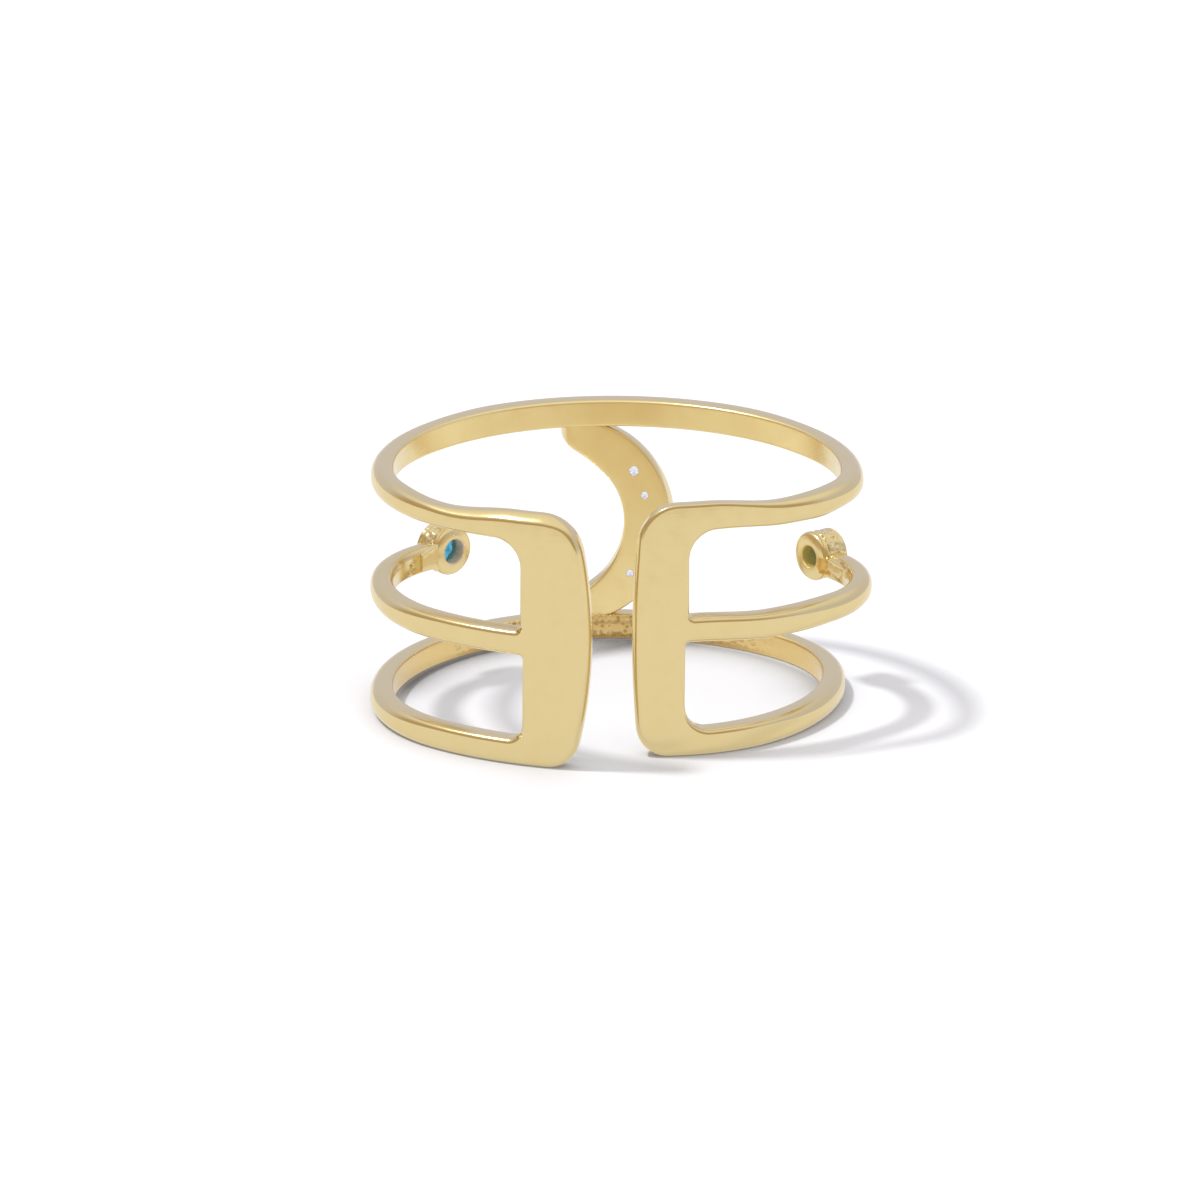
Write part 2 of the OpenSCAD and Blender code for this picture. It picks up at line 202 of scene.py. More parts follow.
class CupSettings(bpy.types.PropertyGroup):
    """The two round stone cups at the free ends of the middle wire."""
    cup_size: length("Diameter", "Outer diameter of a cup's back flange", 1.92)
    waist: length("Drum", "Diameter of the drum in front of the flange", 1.88)
    cup_depth: length("Depth", "Length of a cup", 1.2)
    flange: length("Flange", "Length of the back flange", 0.32)
    hole: length("Hole", "Diameter of the open back: left, right", 0.96, 0.86)
    throat: length("Throat", "Diameter behind the stone's seat: left, right", 0.98, 0.3)
    bore: length("Bore", "Length of the straight bore: left, right", 0.5, 0.8)
    cup_height: length("Height", "Height of the cup's centre: left, right", 5.09, 5.11)
    side_stone: length("Stone Size", "Diameter of a side stone", 1.44)
    hammer: length("Hammering", "Depth of the tool marks on the drum", 0.06)
    flare: length("Flare", "Fillet between the neck and the cup", 0.2)
    web: length("Web", "Thickness of the flat web between a neck and its cup", 0.34)
    groove: length("Groove", "Diameter of the file that cut beside the webs", 0.56)
    bead: length("Bead", "Diameter of the solder beads beside the left web", 0.2)


class MetalSettings(bpy.types.PropertyGroup):
    """Colours and polish of the gold, and colours of the stones."""
    gold: colour("Gold", "Polished gold plating", 0.765, 0.617, 0.312)
    # The inner gold is a lighter copy of the gold: painted light on the faces turned to the finger
    # at the back.
    gold_inner_lit: colour("Inner Gold", "Faces against the finger", 0.89, 0.72, 0.35)
    # The deep gold serves random dull patches of polish and painted shade low on the inward faces.
    gold_dull_and_shade: colour("Deep Gold", "Worn and rough places", 0.74, 0.5, 0.19)
    gold_drilled: colour("Drilled Gold", "Inside of the right cup", 0.9, 0.7, 0.22)
    # The bright bore is a paler copy of the drilled gold: painted light in the left cup's bore; its
    # roughness is real.
    gold_bore_lit: colour("Bright Bore", "Inside of the left cup", 0.85, 0.72, 0.6)
    gold_filed: colour("Filed Gold", "File cuts beside the cups", 0.95, 0.73, 0.27)
    gold_worn: colour("Worn Gold", "Nicks low inside the back", 0.36, 0.2, 0.05)
    roughness: share("Roughness", "Roughness of the polished metal", 0.17)
    satin: share("Satin", "How much rougher the faces against the finger are", 0.14)
    polish_depth: length("Polish Depth", "Height of the polishing waves", 0.0012)
    blue: colour("Blue Stone", "Side stones", 0.05, 0.34, 0.66)
    blue_pale: colour("Pale Blue", "Paler zones of the side stones", 0.2, 0.75, 0.85)
    white: colour("White Stone", "Small stones", 0.97, 0.97, 1.0)
    white_pale: colour("Pale White", "Duller zones of the small stones", 0.9, 0.92, 1.0)


class StageSettings(bpy.types.PropertyGroup):
    """Camera, floor and light."""
    elevation: angle("Elevation", "How far above the floor the camera looks from", 17.8)
    roll: angle("Roll", "Turn of the camera about its view", 0.5)
    distance: length("Distance", "From the camera to the ring's middle", 360.0)
    aim_height: length("Aim Height", "Height of the ring's middle", 5.0)
    focal: number("Focal Length", "Focal length, in pixels of the picture", 9394.0)
    picture: number("Picture", "Width and height of the picture, in pixels", 1200.0)
    aim: number("Aim", "Column and row of the ring's middle", 618.1, 584.1)
    floor: colour("Floor", "Colour of the floor", 0.96, 0.965, 0.975)
    key_strength: number("Key Light", "Strength of the key light", 1.35)
    key_size: angle("Key Size", "Angular size of the key light, softens the shadows", 6.5)
    key_from: number("Key From", "Where the key light comes from: X, Y, Z", -4.65, 0.2, 9.3)
    room_strength: number("Room Light", "Strength of the room's light", 1.0)
    far_light: colour("Far Light", "Light from behind the ring", 0.72, 0.74, 0.92)
    top_light: colour("Top Light", "Light from above", 1.0, 1.0, 1.0)
    room_fill: share("Room Fill", "Share of it that falls on matt surfaces", 0.95)
    near_dark: colour("Near Dark", "The darker space in front of the ring", 0.56, 0.45, 0.33)
    # The contact shadow is painted into the floor's colour.
    contact_reach: length("Contact Reach", "Reach of the shadow at the ring's foot", 2.6)
    # Painted light: the floor in front of the ring glows a little to lighten its shadows.
    shadow_lift: share("Shadow Lift", "How much the shadows before it are brightened", 0.05)
    # Painted reflection: the floor glows for glossy rays only.
    floor_glow: share("Floor Glow", "Evenness of the floor in the metal's mirror", 0.7)
    floor_size: length("Floor Size", "Width of the floor", 4000.0)


def plain(settings, which=None):
    """Settings in millimetres and degrees; of a left and a right one, only the one asked for."""
    convert = {"LENGTH": lambda v: v / MM, "ROTATION": math.degrees, "NONE": lambda v: v}
    values = {}
    for key in settings.__annotations__:
        value, unit = getattr(settings, key), settings.bl_rna.properties[key].unit
        if isinstance(value, (int, float)):
            values[key] = convert[unit](value)
        else:
            values[key] = [convert[unit](v) for v in value]
            if len(value) == 2 and which is not None:
                values[key] = values[key][which]
    return values


# ---------------------------------------------------------------- plan view courses


def direction(deg):
    """Unit vector at an angle from +X."""
    return np.array([math.cos(math.radians(deg)), math.sin(math.radians(deg))])


def ease(t):
    """Rises smoothly from 0 to 1 as t does."""
    t = np.clip(t, 0.0, 1.0)
    return t * t * (3 - 2 * t)


def climb(at, start, reach):
    """Rises smoothly from 0 to 1 over a reach that begins at start."""
    return ease((at - start) / reach)


def between(at, starts, ends):
    """1 between two places, rising from 0 at the first and falling to 0 at the second."""
    return climb(at, *starts) * (1 - climb(at, *ends))


def first_arc(front, radius, deg):
    """The front stretch of a wire: (centre, outer radius, start angle, end angle)."""
    return (np.array([0.0, front - radius]), radius, 90.0, 90.0 + deg)


def tangent_arc(arc, radius, deg):
    """A stretch that goes on from an arc's end or, with a negative angle, leads up to it."""
    centre = arc[0] + direction(arc[3]) * (arc[1] - radius)
    return (centre, radius, arc[3] + min(deg, 0), arc[3] + max(deg, 0))


def join_arc(arc, centre, radius):
    """The stretch from the end of an arc into the circle of an end plate."""
    point = arc[0] + direction(arc[3]) * arc[1]
    inward = -direction(arc[3])
    offset = point - centre
    joint = (radius ** 2 - offset @ offset) / (2 * (radius + inward @ offset))
    middle = point + inward * joint
    to = centre - middle if joint > radius else middle - centre
    return (middle, joint, arc[3], (math.degrees(math.atan2(to[1], to[0])) + 360) % 360)


class Course:
    """The outer face of a wire seen from above: a straight neck, then arcs, up to a plate."""

    def __init__(self, arcs, neck=0.0):
        self.arcs = arcs
        spans = [neck] + [r * math.radians(a1 - a0) for _, r, a0, a1 in arcs]
        self.starts = np.cumsum([0.0] + spans)
        self.joined = self.starts[-2]

    def at(self, s):
        """Points and outward normals at distances s along the course."""
        s = np.asarray(s, float)
        centre, radius, a0, _ = self.arcs[0]
        normal = np.tile(direction(a0), (len(s), 1))
        point = centre + radius * normal + np.outer(s - self.starts[1], direction(a0 + 90))
        for i, (centre, radius, a0, _) in enumerate(self.arcs):
            here = s >= self.starts[i + 1]
            turn = math.radians(a0) + (s[here] - self.starts[i + 1]) / radius
            n = np.stack([np.cos(turn), np.sin(turn)], 1)
            point[here], normal[here] = centre + radius * n, n
        return point, normal


class Side:
    """One arm with its sizes: three courses, bottom, middle and top, that reach one plate."""
    FRONT = 3.0
    PLATE_END = 300.0

    def __init__(self, hand, sizes):
        self.hand, self.s = hand, SimpleNamespace(**sizes)
        self.centre = np.array([self.s.centre_x, self.s.centre_y])
        self.courses = [self.course(k) for k in range(3)]
        self.ref_angle, self.ref_u = self.courses[2].arcs[-1][2], self.courses[2].joined
        self.joined_u = [float(self.unrolled(c.arcs[-1][2])) for c in self.courses]
        self.neck_u = self.joined_u[1] - self.courses[1].joined

    def course(self, k):
        """The course of the bottom, the middle or the top wire; the middle one curls to a cup."""
        s = self.s
        if self.hand < 0:
            arcs = [first_arc(s.front, s.left_radius, s.left_angle)]
        else:
            arcs = [first_arc(s.front, s.front_radius[k], s.front_angle[k])]
            arcs.append(tangent_arc(arcs[0], s.side_radius[k], s.side_angle[k]))
        join = join_arc(arcs[-1], self.centre, s.plate_radius)
        arcs += [join, (self.centre, s.plate_radius, join[3], self.PLATE_END)]
        if k != 1:
            return Course(arcs)
        return Course([tangent_arc(arcs[0], s.curl_radius, -s.curl_angle)] + arcs[1:], s.neck)

    def unrolled(self, angles):
        """Unrolled distance of an angle on the plate's circle."""
        turn = np.radians(np.asarray(angles) - self.ref_angle)
        return self.ref_u + self.s.plate_radius * turn

    def plate_u(self, x):
        """Unrolled distance of a place on the plate, given its X."""
        turn = np.degrees(np.arccos((np.asarray(x) - self.centre[0]) / self.s.plate_radius))
        return float(self.unrolled(360 - turn))

    def course_at(self, k, u):
        """Points and normals of course k at unrolled distances u."""
        course, joined_u = self.courses[k], self.joined_u[k]
        s = course.joined + (u - joined_u)
        if k != 1:
            pull = (course.joined - self.FRONT) / (joined_u - self.FRONT)
            s = np.where(u < self.FRONT, u, self.FRONT + (u - self.FRONT) * pull)
            s = np.where(u < joined_u, s, course.joined + u - joined_u)
        return course.at(s)

    def lean(self, away, z):
        """How far the outer face leans inwards near the top of the arm."""
        if self.hand < 0:
            return self.s.lean * climb(z, *LEFT_LEAN_HEIGHT) * climb(away, *LEFT_LEAN)
        low, reach = RIGHT_LEAN_HEIGHT
        rise = np.clip((z - low) / reach, 0, 1)
        return self.s.lean * rise * (0.7 + 0.3 * rise) * climb(away, *RIGHT_LEAN)

    def cup_frame(self):
        """Middle of the cup's front face and the direction it faces, in millimetres."""
        s, flip = self.s, -self.hand
        point, normal = self.courses[1].at(np.array([0.0]))
        point = point[0] + normal[0] * (s.cup_depth - s.thickness) / 2
        return (Vector((flip * point[0], point[1], s.cup_height)),
                Vector((flip * normal[0][0], normal[0][1], 0.0)))

    def neck_frame(self):
        """Middle of the cup's back, the direction along the neck, and the one through the cup."""
        middle, facing = self.cup_frame()
        along = Vector((facing.y, -facing.x, 0)) * self.hand
        return middle - facing * self.s.cup_depth, along, facing

    def inner_face(self, reach):
        """How far the neck's inner face lies in front of the cup's back, at a reach from it."""
        bow = max(0.0, reach - self.s.neck) ** 2 / (2 * self.s.curl_radius)
        return (self.s.cup_depth - self.s.thickness) / 2 - bow


class Layout:
    """The sizes of the ring in millimetres, and the map from the unrolled band to the ring."""
    TOP_HALF = 8.0
    BLEND_X, BLEND_REACH = -3.0, 3.0

    def __init__(self, scene):
        self.c = SimpleNamespace(**plain(scene.ring_crescent))
        self.sides = []
        for hand in (-1, 1):
            sizes = {}
            for group in (scene.ring_wires, scene.ring_plates, scene.ring_cups):
                sizes.update(plain(group, hand > 0))
            self.sides.append(Side(hand, sizes))
        self.left, self.right = self.sides
        self.s = s = self.right.s
        self.top_under = s.top_edge - s.top_height
        self.mid_over = s.middle_centre + s.middle_height / 2
        self.mid_under = s.middle_centre - s.middle_height / 2

    def frontness(self, u):
        """1 at the front of the ring, falling smoothly to 0 where the top wire is slimmest."""
        return 1 - climb(u, self.s.slim_from, self.s.slim_to - self.s.slim_from)

    def inner_rounding(self, loop, normals):
        """Radius of the edge against the finger: rounder over the far part of the middle wire."""
        away, z = np.abs(loop[:, 0]), loop[:, 1]
        upper_edge = abs(z - self.mid_over - 0.1) < 0.3
        far = between(away, FAR_STARTS, FAR_ENDS) * upper_edge
        radius = self.s.inner_round + 0.2 * far * np.clip(-normals[:, 1], 0, 1)
        return radius, radius

    def rounding(self, loop, normals):
        """Radii of the outer edge at each point of an outline: near the flat, near the face."""
        s, away, is_left = self.s, np.abs(loop[:, 0]), loop[:, 0] < 0
        up, down = np.clip(-normals[:, 1], 0, 1), np.clip(normals[:, 1], 0, 1)
        side = between(away, SIDE_STARTS, SIDE_ENDS)
        top_of_arm = climb(away, *ARM_TOP) * (loop[:, 1] > self.TOP_HALF)
        corner = self.left.plate_u(self.left.s.gap) - s.top_corner
        left = top_of_arm * is_left * (1 - climb(away, corner, 1.1))
        free = (1 - up - down).clip(0, 1) * (away > FREE_EDGE)
        wide = s.outer_round + s.low_round * down + s.side_round * side * down
        wide = wide + s.free_round * free - 0.4 * s.outer_round * (top_of_arm * ~is_left) * up
        tight = wide + 1.4 * s.side_round * side * up
        wide = wide + up ** 4 * np.maximum(s.side_dome * side, s.left_dome * left)
        slant = s.free_slant * free * is_left
        return wide + slant, tight - 0.4 * slant

    def place(self, u, z, depth, crescent=False):
        """Points of the ring, in millimetres, for places (u, z) of the unrolled band."""
        u, z, depth = (np.asarray(a, float) for a in np.broadcast_arrays(u, z, depth))
        bottom = self.s.bottom_height
        low = ease((z - bottom) / (self.mid_under - bottom))
        high = ease((z - self.mid_over) / (self.top_under - self.mid_over))
        whole = np.clip((z - bottom) / (self.top_under - bottom), 0, 1)
        out = np.zeros((len(u), 3))
        for side in self.sides:
            here = u * side.hand >= 0
            if not here.any():
                continue
            away, sink = np.abs(u[here]), depth[here]
            if crescent:
                weights = np.stack([1 - whole[here], 0 * whole[here], whole[here]], 1)
            else:
                apart = away < side.plate_u(self.BLEND_X) - self.BLEND_REACH
                lo = np.where(apart, low[here] > 0.5, low[here])
                hi = np.where(apart, high[here] > 0.5, high[here])
                weights = np.stack([1 - lo, lo * (1 - hi), lo * hi], 1)
                sink = sink + side.lean(away, z[here]) * (1 - sink / self.s.thickness)
            point, normal = np.zeros((len(away), 2)), np.zeros((len(away), 2))
            for k in range(3):
                course_point, course_normal = side.course_at(k, away)
                point += weights[:, k:k + 1] * course_point
                normal += weights[:, k:k + 1] * course_normal
            normal /= np.linalg.norm(normal, axis=1, keepdims=True)
            point = point - normal * sink[:, None]
            out[here] = np.column_stack([-side.hand * point[:, 0], point[:, 1], z[here]])
        return out

    def moon_frame(self, i):
        """Middle of the front face at small stone i, and the direction it faces."""
        c = self.c
        turn = math.radians(c.row_step * ((c.stone_count - 1) / 2 - i))
        x = c.row_x + c.row_radius * math.cos(turn) + (0 if i else c.top_shift)
        radius = self.s.front - c.inset
        facing = Vector((x / radius, math.sqrt(1 - (x / radius) ** 2), 0.0))
        height = Vector((0, 0, c.centre + c.row_radius * math.sin(turn)))
        return facing * radius + height, facing


# ---------------------------------------------------------------- outlines of the unrolled band


def line(p, q, step):
    """Points from p up to, but not on, q."""
    p, q = np.asarray(p, float), np.asarray(q, float)
    n = max(1, int(round(np.linalg.norm(q - p) / step)))
    return [p + (q - p) * i / n for i in range(n)]


def arc(centre, radius, start, end, step=10.0):
    """Points round an arc from its start up to, but not on, its end."""
    n = max(2, int(math.ceil(abs(end - start) / step)))
    return [np.asarray(centre, float) + radius * direction(start + (end - start) * i / n)
            for i in range(n)]


def bearing(centre, point):
    """The angle from +X at which a point lies from a centre."""
    return math.degrees(math.atan2(point[1] - centre[1], point[0] - centre[0]))


def plate_edge(side):
    """The free edge of an end plate with its two corners, from the bottom up."""
    s = side.s
    half, bow, gap = s.height / 2, s.bow, s.gap
    bow_centre = np.array([gap - bow, half])
    (low, low_r), (high, high_r) = [
        (np.array([gap - bow + math.sqrt((bow - radius) ** 2 - (z - half) ** 2), z]), radius)
        for radius, z in ((s.bottom_corner, s.bottom_corner),
                          (s.top_corner, s.height - s.top_corner))]
    start, end = bearing(bow_centre, low), bearing(bow_centre, high)
    points = arc(low, low_r, -90, start, 8) + arc(bow_centre, bow, start, end, (end - start) / 22)
    points += arc(high, high_r, end, 90, 8) + [high + high_r * direction(90)]
    return [np.array([side.plate_u(x), z]) for x, z in points]


def outer_edge(lay, side):
    """The band's outer outline on one side: bottom edge, free edge, top edge."""
    s = side.s
    edge = plate_edge(side)
    top = line(edge[-1], (0, s.height), s.edge_step)[1:] + [np.array([0, s.height])]
    for q in top:
        away = edge[-1][0] - q[0]
        fall = climb(away, s.dip_from, s.dip_at - s.dip_from)
        rise = climb(away, s.dip_at, s.dip_to - s.dip_at)
        q[1] += (s.top_edge - s.dip - s.height) * fall + s.dip * rise
        q[1] += s.top_rise * lay.frontness(q[0])
    return line((0, 0), edge[0], s.edge_step) + edge + top


def inner_edge(lay, side):
    """The open space on one side: below the top wire, round the middle one, over the bottom."""
    s, over, under, top_under = side.s, lay.mid_over, lay.mid_under, lay.top_under
    step, small, big, foot = s.edge_step, s.window_middle, s.window_top, s.window_bottom
    upper, lower = side.plate_u(s.upper_window), side.plate_u(s.lower_window)
    bottom = s.bottom_height

    def lift(row):
        for q in row:
            q[1] += s.cup_lift * (1 - climb(q[0], *CUP_LIFT_ENDS))
            q[1] += s.plate_lift * ease((q[0] - lower + PLATE_LIFT_FROM) / PLATE_LIFT_REACH)
        return row

    points = line((0, top_under), (upper - big, top_under), step)
    for q in points:
        q[1] -= s.top_drop * lay.frontness(q[0])
        q[1] -= s.side_drop * between(q[0], DROP_STARTS, DROP_ENDS)
    points += arc((upper - big, top_under - big), big, 90, 0, 9)
    points += line((upper, top_under - big), (upper, over + small), step)
    points += lift(arc((upper - small, over + small), small, 0, -90, 15))
    disc, radius, flare = np.array([side.neck_u, s.cup_height]), s.cup_size / 2 - 0.08, s.flare
    top_c, low_c = [
        np.array([disc[0] + math.sqrt((radius + flare) ** 2 - (z - disc[1]) ** 2), z])
        for z in (over + s.cup_lift + flare, under + s.cup_lift - flare)]
    top_a, low_a = bearing(disc, top_c), bearing(disc, low_c)
    points += lift(line((upper - small, over), (top_c[0], over), step))
    points += arc(top_c, flare, -90, top_a - 180, 10)
    points += arc(disc, radius, top_a, 360 + low_a, 10)
    points += arc(low_c, flare, low_a + 180, 90, 10)
    points += lift(line((low_c[0], under), (lower - small, under), step))
    points += lift(arc((lower - small, under - small), small, 90, 0, 15))
    points += line((lower, under - small), (lower, bottom + foot), step)
    points += arc((lower - foot, bottom + foot), foot, 0, -90, 9)
    points += line((lower - foot, bottom), (0, bottom), step)
    return points + [np.array([0, bottom])]


def closed_loop(lay, edge):
    """One loop from the outlines of both sides; the left one is mirrored."""
    right, left = edge(lay, lay.right), edge(lay, lay.left)
    return np.array(right[:-1] + [q * (-1, 1) for q in left[::-1][:-1]])


def hollow_edge(c, half):
    """One half of the crescent's hollow edge with its horn, from the horn's side inwards."""
    radius, leave, flat, horn = c.hollow_radius, c.hollow_angle, c.hollow_flat, c.horn_radius
    radius, leave, flat = radius[half], leave[half], flat[half]
    middle = np.array([c.hollow_x - radius, 0.0])
    far = middle + (radius - flat) * direction(leave)
    end = math.degrees(math.acos((c.horn_x + horn - far[0]) / (flat + horn)))
    tip = far + (flat + horn) * direction(end)
    points = arc(tip, horn, 180, 180 + end, 10)
    points += arc(far, flat, end, leave, (end - leave) / 5)
    return points + arc(middle, radius, leave, 0, 3.5)


def crescent_edge(lay):
    """Outline of the unrolled crescent, with the metal on the left of the way round."""
    c, front, step = lay.c, lay.s.front, 0.2
    root = lay.top_under + 0.3 - c.centre
    outer = np.array([c.outer_x, 0.0])
    top = math.degrees(math.asin(min(1.0, (root - 0.24) / c.outer_radius)))
    rim = outer + c.outer_radius * direction(top)
    side = arc(outer, c.outer_radius, 0, top, 3) + line(rim, (rim[0], root), step)
    side += line((rim[0], root), (c.horn_x, root), step)
    halves = []
    for half in range(2):
        hollow = hollow_edge(c, half)
        halves.append(side + line((c.horn_x, root), hollow[0], step) + hollow)
    upper, lower = halves
    loop = np.array(upper + [np.array([c.hollow_x, 0.0])] + [q * (1, -1) for q in lower[:0:-1]])
    loop[:, 0] = front * np.arcsin(loop[:, 0] / front)
    loop[:, 1] += c.centre
    return loop


# ---------------------------------------------------------------- mesh tools


def inward_normals(loop):
    """Unit normals of a closed loop that point into the metal on its left."""
    ahead = np.roll(loop, -1, 0) - loop
    ahead /= np.linalg.norm(ahead, axis=1, keepdims=True)
    mean = ahead + np.roll(ahead, 1, 0)
    mean /= np.linalg.norm(mean, axis=1, keepdims=True)
    return np.column_stack([-mean[:, 1], mean[:, 0]])


def inside(points, loops):
    """Which points lie in the metal: an odd number of loop crossings to one side."""
    result = np.zeros(len(points), bool)
    x, y = points[:, 0], points[:, 1]
    for loop in loops:
        for a, b in zip(loop, np.roll(loop, -1, 0)):
            if a[1] != b[1]:
                crosses = ((a[1] > y) != (b[1] > y))
                result ^= crosses & (x < (b[0] - a[0]) * (y - a[1]) / (b[1] - a[1]) + a[0])
    return result


def fill(loops, step):
    """Triangles that fill the metal between loops: extra points, then triangles over all."""
    edge = np.vstack(loops)
    low, high = edge.min(0), edge.max(0)
    rows = []
    for i, z in enumerate(np.arange(low[1] + step * 0.5, high[1], step * 0.87)):
        us = np.arange(low[0] + step * (0.25 + 0.5 * (i % 2)), high[0], step)
        rows.append(np.column_stack([us, np.full(len(us), z)]))
    grid = np.vstack(rows)
    grid = grid[inside(grid, loops)]
    near = np.full(len(grid), np.inf)
    for start in range(0, len(edge), 400):
        part = edge[start:start + 400]
        near = np.minimum(near, np.linalg.norm(grid[:, None] - part[None], axis=2).min(1))
    grid = grid[near > step * 0.6]
    points = np.vstack([edge, grid])
    edges, base = [], 0
    for loop in loops:
        n = len(loop)
        edges += [(base + i, base + (i + 1) % n) for i in range(n)]
        base += n
    done = delaunay_2d_cdt([Vector(q) for q in points], edges, [], 0, 1e-7)
    index = [origin[0] if origin else -1 for origin in done[3]]
    triangles = np.array([[index[i] for i in face] for face in done[2]])
    triangles = triangles[(triangles >= 0).all(1)]
    return grid, triangles[inside(points[triangles].mean(1), loops)]


TURN = math.radians(50)  # where an edge's rounding passes from its first radius to its second


def pit_ring(u, z, radius):
    """24 points round a pit of the unrolled sheet."""
    return np.array([(u, z) + radius * direction(-a) for a in range(0, 360, 15)])


def ring_quads(a, b, n):
    """Faces between two rings of n points that start at a and at b."""
    return [(a + i, a + (i + 1) % n, b + (i + 1) % n, b + i) for i in range(n)]


def sheet_mesh(name, loops, thickness, rounds, place, step, pits=()):
    """A curved sheet of metal with rounded edges from its unrolled outline.

    rounds has, for the outer and the inner face, a radius and a number of steps. The radius may
    be a function of the outline and its normals that gives the radii near the flat and near the
    face. pits are (u, z, profile): round recesses through the sheet, whose profile is a list of
    (radius, depth) from the outer face to the inner.
    """
    verts, faces, first = [], [], {}

    def add(uz, depth):
        start = sum(len(v) for v in verts)
        verts.append(place(uz[:, 0], uz[:, 1], depth))
        return start

    for face, (radius, steps) in enumerate(rounds):
        bounds, starts, flat = [], [], thickness if face else 0.0
        for k, loop in enumerate(loops):
            normals, n, last = inward_normals(loop), len(loop), None
            wide, tight = radius(loop, normals) if callable(radius) else (radius, radius)
            wide, tight = np.full(n, wide), np.full(n, tight)
            for tilt in np.radians(np.linspace(90, 0, steps)):
                upper, lower = max(tilt, TURN), min(tilt, TURN)
                inset = wide * (1 - math.sin(upper)) + tight * (math.sin(TURN) - math.sin(lower))
                sink = wide * (math.cos(TURN) - math.cos(upper)) + tight * (1 - math.cos(lower))
                ring = loop + normals * inset[:, None]
                start = add(ring, thickness - sink if face else sink)
                if last is None:
                    first[face, k] = start
                else:
                    faces.extend(ring_quads(last, start, n))
                last = start
            bounds.append(ring)
            starts.append(start)
        for k, (u, z, profile) in enumerate(pits):
            ring = pit_ring(u, z, profile[-face][0])
            first[face, "pit", k] = add(ring, flat)
            bounds.append(ring)
            starts.append(first[face, "pit", k])
        grid, triangles = fill(bounds, step)
        lookup = np.concatenate([s + np.arange(len(b)) for s, b in zip(starts, bounds)]
                                + [add(grid, flat) + np.arange(len(grid))])
        faces.extend(tuple(int(v) for v in lookup[t]) for t in triangles)
    for k, loop in enumerate(loops):
        faces.extend(ring_quads(first[0, k], first[1, k], len(loop)))
    for k, (u, z, profile) in enumerate(pits):
        last = first[0, "pit", k]
        for radius, depth in profile[1:-1]:
            start = add(pit_ring(u, z, radius), depth)
            faces.extend(ring_quads(last, start, 24))
            last = start
        faces.extend(ring_quads(last, first[1, "pit", k], 24))
    return new_piece(name, np.vstack(verts), faces)


def new_piece(name, verts, faces):
    """A mesh object with outward faces, linked to the scene."""
    mesh = bpy.data.meshes.new(name)
    mesh.from_pydata([tuple(v) for v in verts], [], [tuple(f) for f in faces])
    bm = bmesh.new()
    bm.from_mesh(mesh)
    bmesh.ops.recalc_face_normals(bm, faces=bm.faces)
    bm.to_mesh(mesh)
    bm.free()
    piece = bpy.data.objects.new(name, mesh)
    bpy.context.scene.collection.objects.link(piece)
    return piece


def axes_of(facing):
    """Two directions across the one that a turned piece or a stone faces, and that one."""
    ahead = facing.normalized()
    across = Vector((0, 0, 1)).cross(ahead).normalized()
    return across, ahead.cross(across), ahead


def turned_piece(name, profile, centre, facing, segments=64, marks=None, start=0.0):
    """A solid from a profile of (radius, height) that starts and ends on the axis."""
    across, upward, ahead = axes_of(facing)
    rows = profile[1:-1]
    verts = [centre + ahead * profile[0][1], centre + ahead * profile[-1][1]]
    for j in range(segments):
        turn = start + 2 * math.pi * j / segments
        around = across * math.cos(turn) + upward * math.sin(turn)
        for r, h in rows:
            verts.append(centre + around * (r + (marks(r, h, turn) if marks else 0)) + ahead * h)
    n, faces = len(rows), []
    for j in range(segments):
        here, after = 2 + j * n, 2 + (j + 1) % segments * n
        faces += [(0, here, after), (1, after + n - 1, here + n - 1)]
        faces += [(here + i, here + i + 1, after + i + 1, after + i) for i in range(n - 1)]
    return new_piece(name, verts, faces)


def applied(piece):
    """Puts the result of a piece's modifiers in the place of its mesh."""
    bpy.context.view_layer.update()
    depsgraph = bpy.context.evaluated_depsgraph_get()
    mesh = bpy.data.meshes.new_from_object(piece.evaluated_get(depsgraph))
    piece.modifiers.clear()
    old, piece.data = piece.data, mesh
    bpy.data.meshes.remove(old)
    return mesh


def combine(piece, others, operation):
    """Solders other closed bodies onto a piece, or cuts them out of it, and removes them."""
    for other in others:
        step = piece.modifiers.new("Combine", "BOOLEAN")
        step.operation, step.object, step.solver = operation, other, "EXACT"
        step.material_mode = "TRANSFER"
    mesh = applied(piece)
    for other in others:
        spare = other.data
        bpy.data.objects.remove(other)
        bpy.data.meshes.remove(spare)
    uses = {}
    for face in mesh.polygons:
        for key in face.edge_keys:
            uses[key] = uses.get(key, 0) + 1
    if not uses or any(count != 2 for count in uses.values()):
        raise RuntimeError(f"{piece.name} is not closed after {operation.lower()}")


def smooth_metal(piece, sharp=35.0):
    """Scales a body from millimetres to metres and smooths it, with crisp creases."""
    mesh = piece.data
    mesh.transform(Matrix.Scale(MM, 4))
    mesh.polygons.foreach_set("use_smooth", [True] * len(mesh.polygons))
    mesh.set_sharp_from_angle(angle=math.radians(sharp))
    weighted = piece.modifiers.new("Flats", "WEIGHTED_NORMAL")
    weighted.keep_sharp, weighted.weight = True, 60
    applied(piece)


